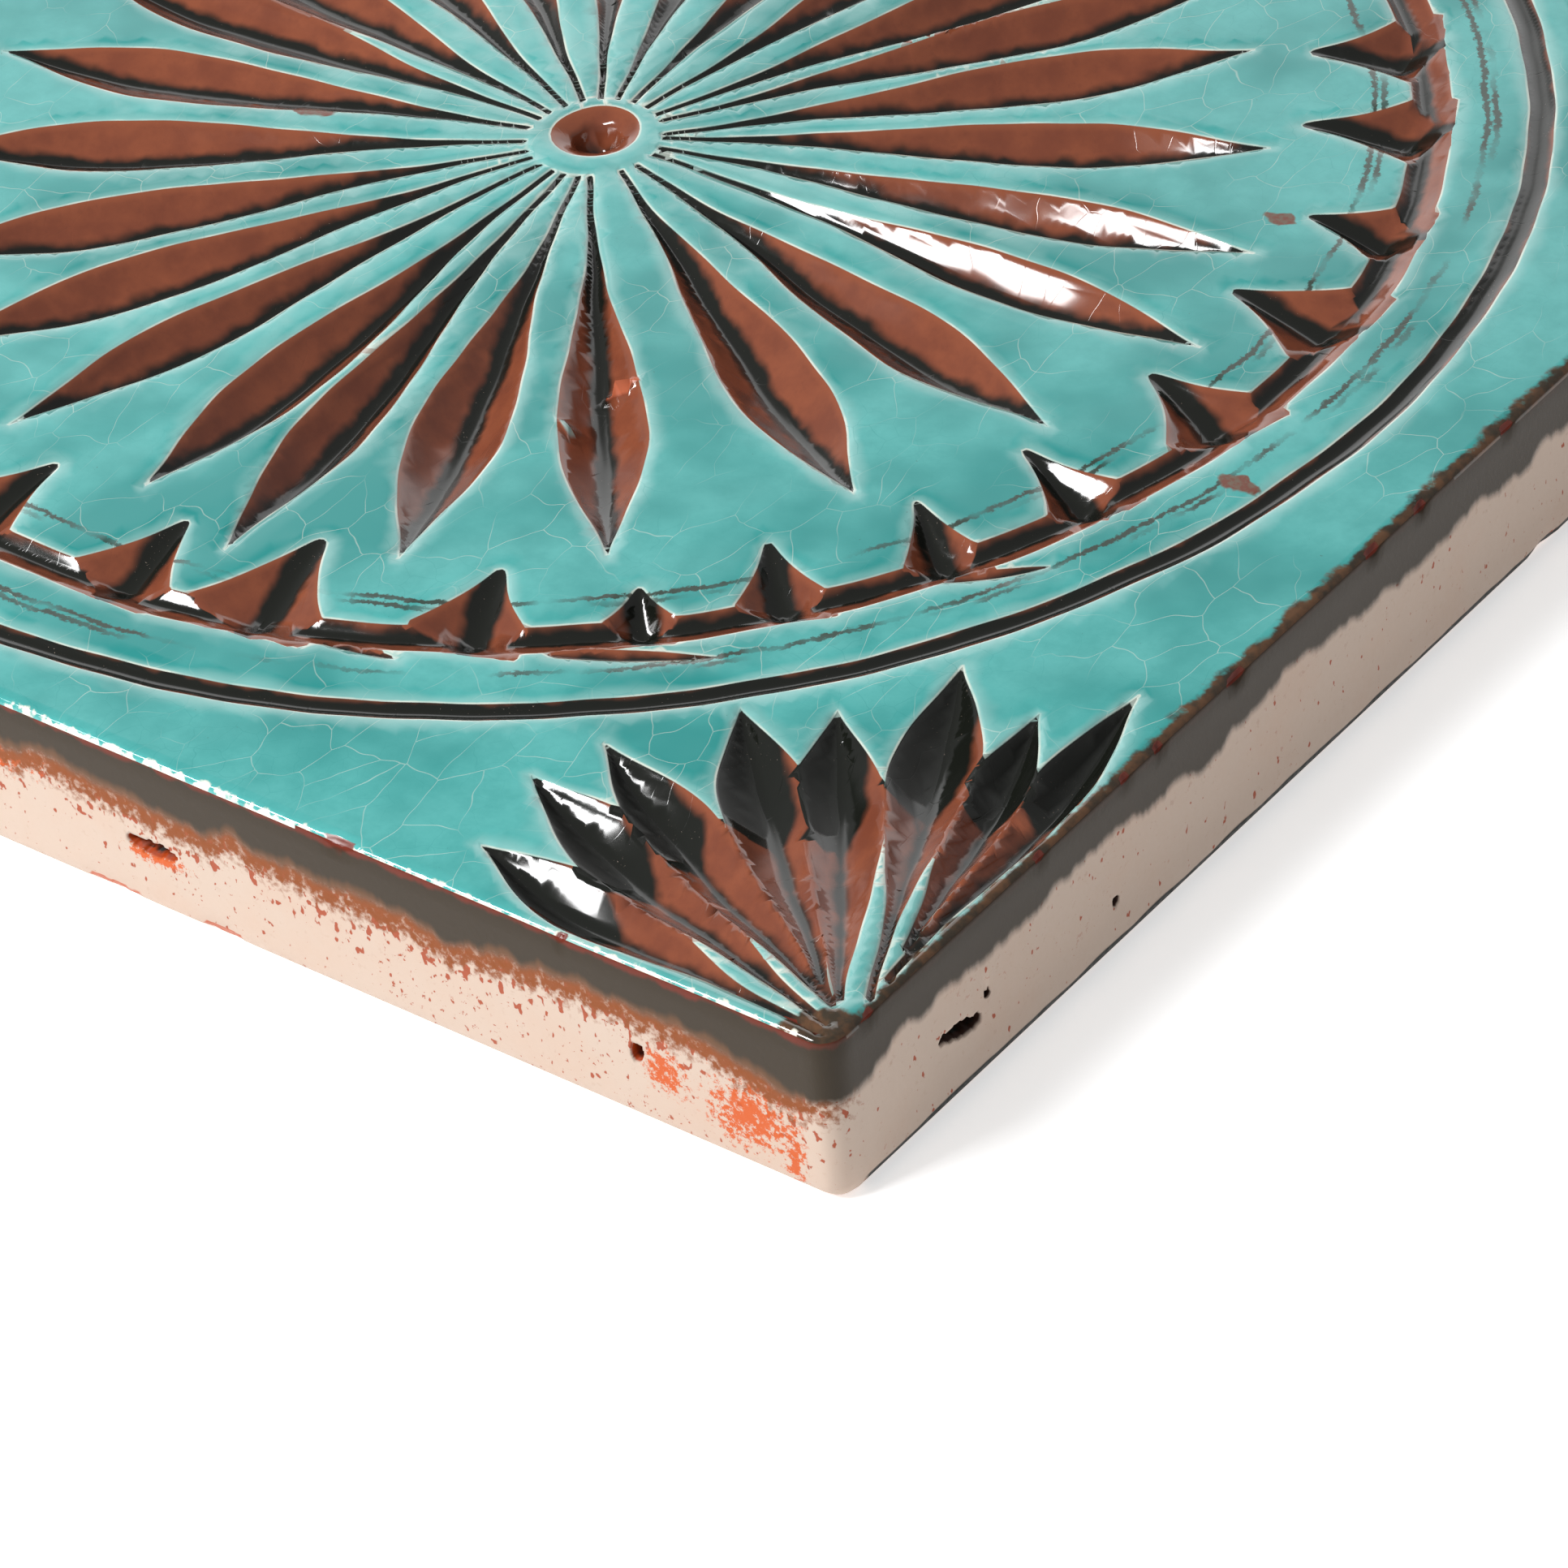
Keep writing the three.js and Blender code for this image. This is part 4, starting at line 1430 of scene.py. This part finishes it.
def add_surround(scene, settings):
    """A dim surround with a bright wall, low behind the tile."""
    world = bpy.data.worlds.new("studio")
    world.use_nodes = True
    scene.world = world
    tree = Tree(world.node_tree)
    background = next(node for node in world.node_tree.nodes if node.type == "BACKGROUND")
    coordinates = tree.node("ShaderNodeTexCoord")
    separate = tree.node("ShaderNodeSeparateXYZ")
    tree.feed(separate.inputs[0], coordinates.outputs["Generated"])
    heading = tree.node("ShaderNodeVectorMath", operation="NORMALIZE")
    tree.feed(heading.inputs[0], tree.stretch(coordinates.outputs["Generated"], (1, 1, 0)))
    behind = tree.node("ShaderNodeVectorMath", operation="DOT_PRODUCT")
    tree.feed(behind.inputs[0], heading.outputs[0])
    behind.inputs[1].default_value = WALL_HEADING
    low = tree.ramp(separate.outputs["Z"], *WALL_TOP_FADE, 1, 0)
    wall = tree.times(tree.ramp(behind.outputs["Value"], *WALL_SIDES_FADE), low)
    tree.feed(background.inputs["Color"], tree.mix(wall, DIM, WHITE))
    background.inputs["Strength"].default_value = settings.sky_strength


class TILE_OT_studio_stage(bpy.types.Operator):
    """Set up the floor, the light and the camera"""

    bl_idname = "tile.studio_stage"
    bl_label = "Studio Stage"

    def execute(self, context):
        settings = context.scene.tile_stage
        add_camera(context.scene)
        add_floor(context.scene, settings)
        add_key(context.scene, settings)
        add_surround(context.scene, settings)
        context.scene.view_settings.view_transform = "Standard"
        return {"FINISHED"}


class TILE_PT_sidebar(bpy.types.Panel):
    """Sidebar panel of the tile."""

    bl_idname = "TILE_PT_sidebar"
    bl_label = "Carved Glazed Tile"
    bl_space_type = "VIEW_3D"
    bl_region_type = "UI"
    bl_category = "Tile"

    def draw(self, context):
        layout = self.layout
        for group in (context.scene.tile_sizes, context.scene.tile_colours, context.scene.tile_stage):
            for name in group.__annotations__:
                layout.prop(group, name)
        layout.operator("tile.glazed_tile")
        layout.operator("tile.studio_stage")


CLASSES = (TileSizes, TileColours, StageSettings, TILE_OT_glazed_tile, TILE_OT_studio_stage, TILE_PT_sidebar)


def register():
    """Adds the classes and the scene's settings."""
    for cls in CLASSES:
        bpy.utils.register_class(cls)
    bpy.types.Scene.tile_sizes = bpy.props.PointerProperty(type=TileSizes)
    bpy.types.Scene.tile_colours = bpy.props.PointerProperty(type=TileColours)
    bpy.types.Scene.tile_stage = bpy.props.PointerProperty(type=StageSettings)


def unregister():
    """Takes the settings and the classes away again."""
    del bpy.types.Scene.tile_stage
    del bpy.types.Scene.tile_colours
    del bpy.types.Scene.tile_sizes
    for cls in reversed(CLASSES):
        bpy.utils.unregister_class(cls)


def main():
    """Builds the tile and the stage."""
    register()
    bpy.ops.tile.glazed_tile()
    bpy.ops.tile.studio_stage()
    boxes = {"cad": CAD_BOUNDS, "visual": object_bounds()}
    {name: [list(corner) for corner in box] for name, box in boxes.items()}


if __name__ == "__main__":
    main()
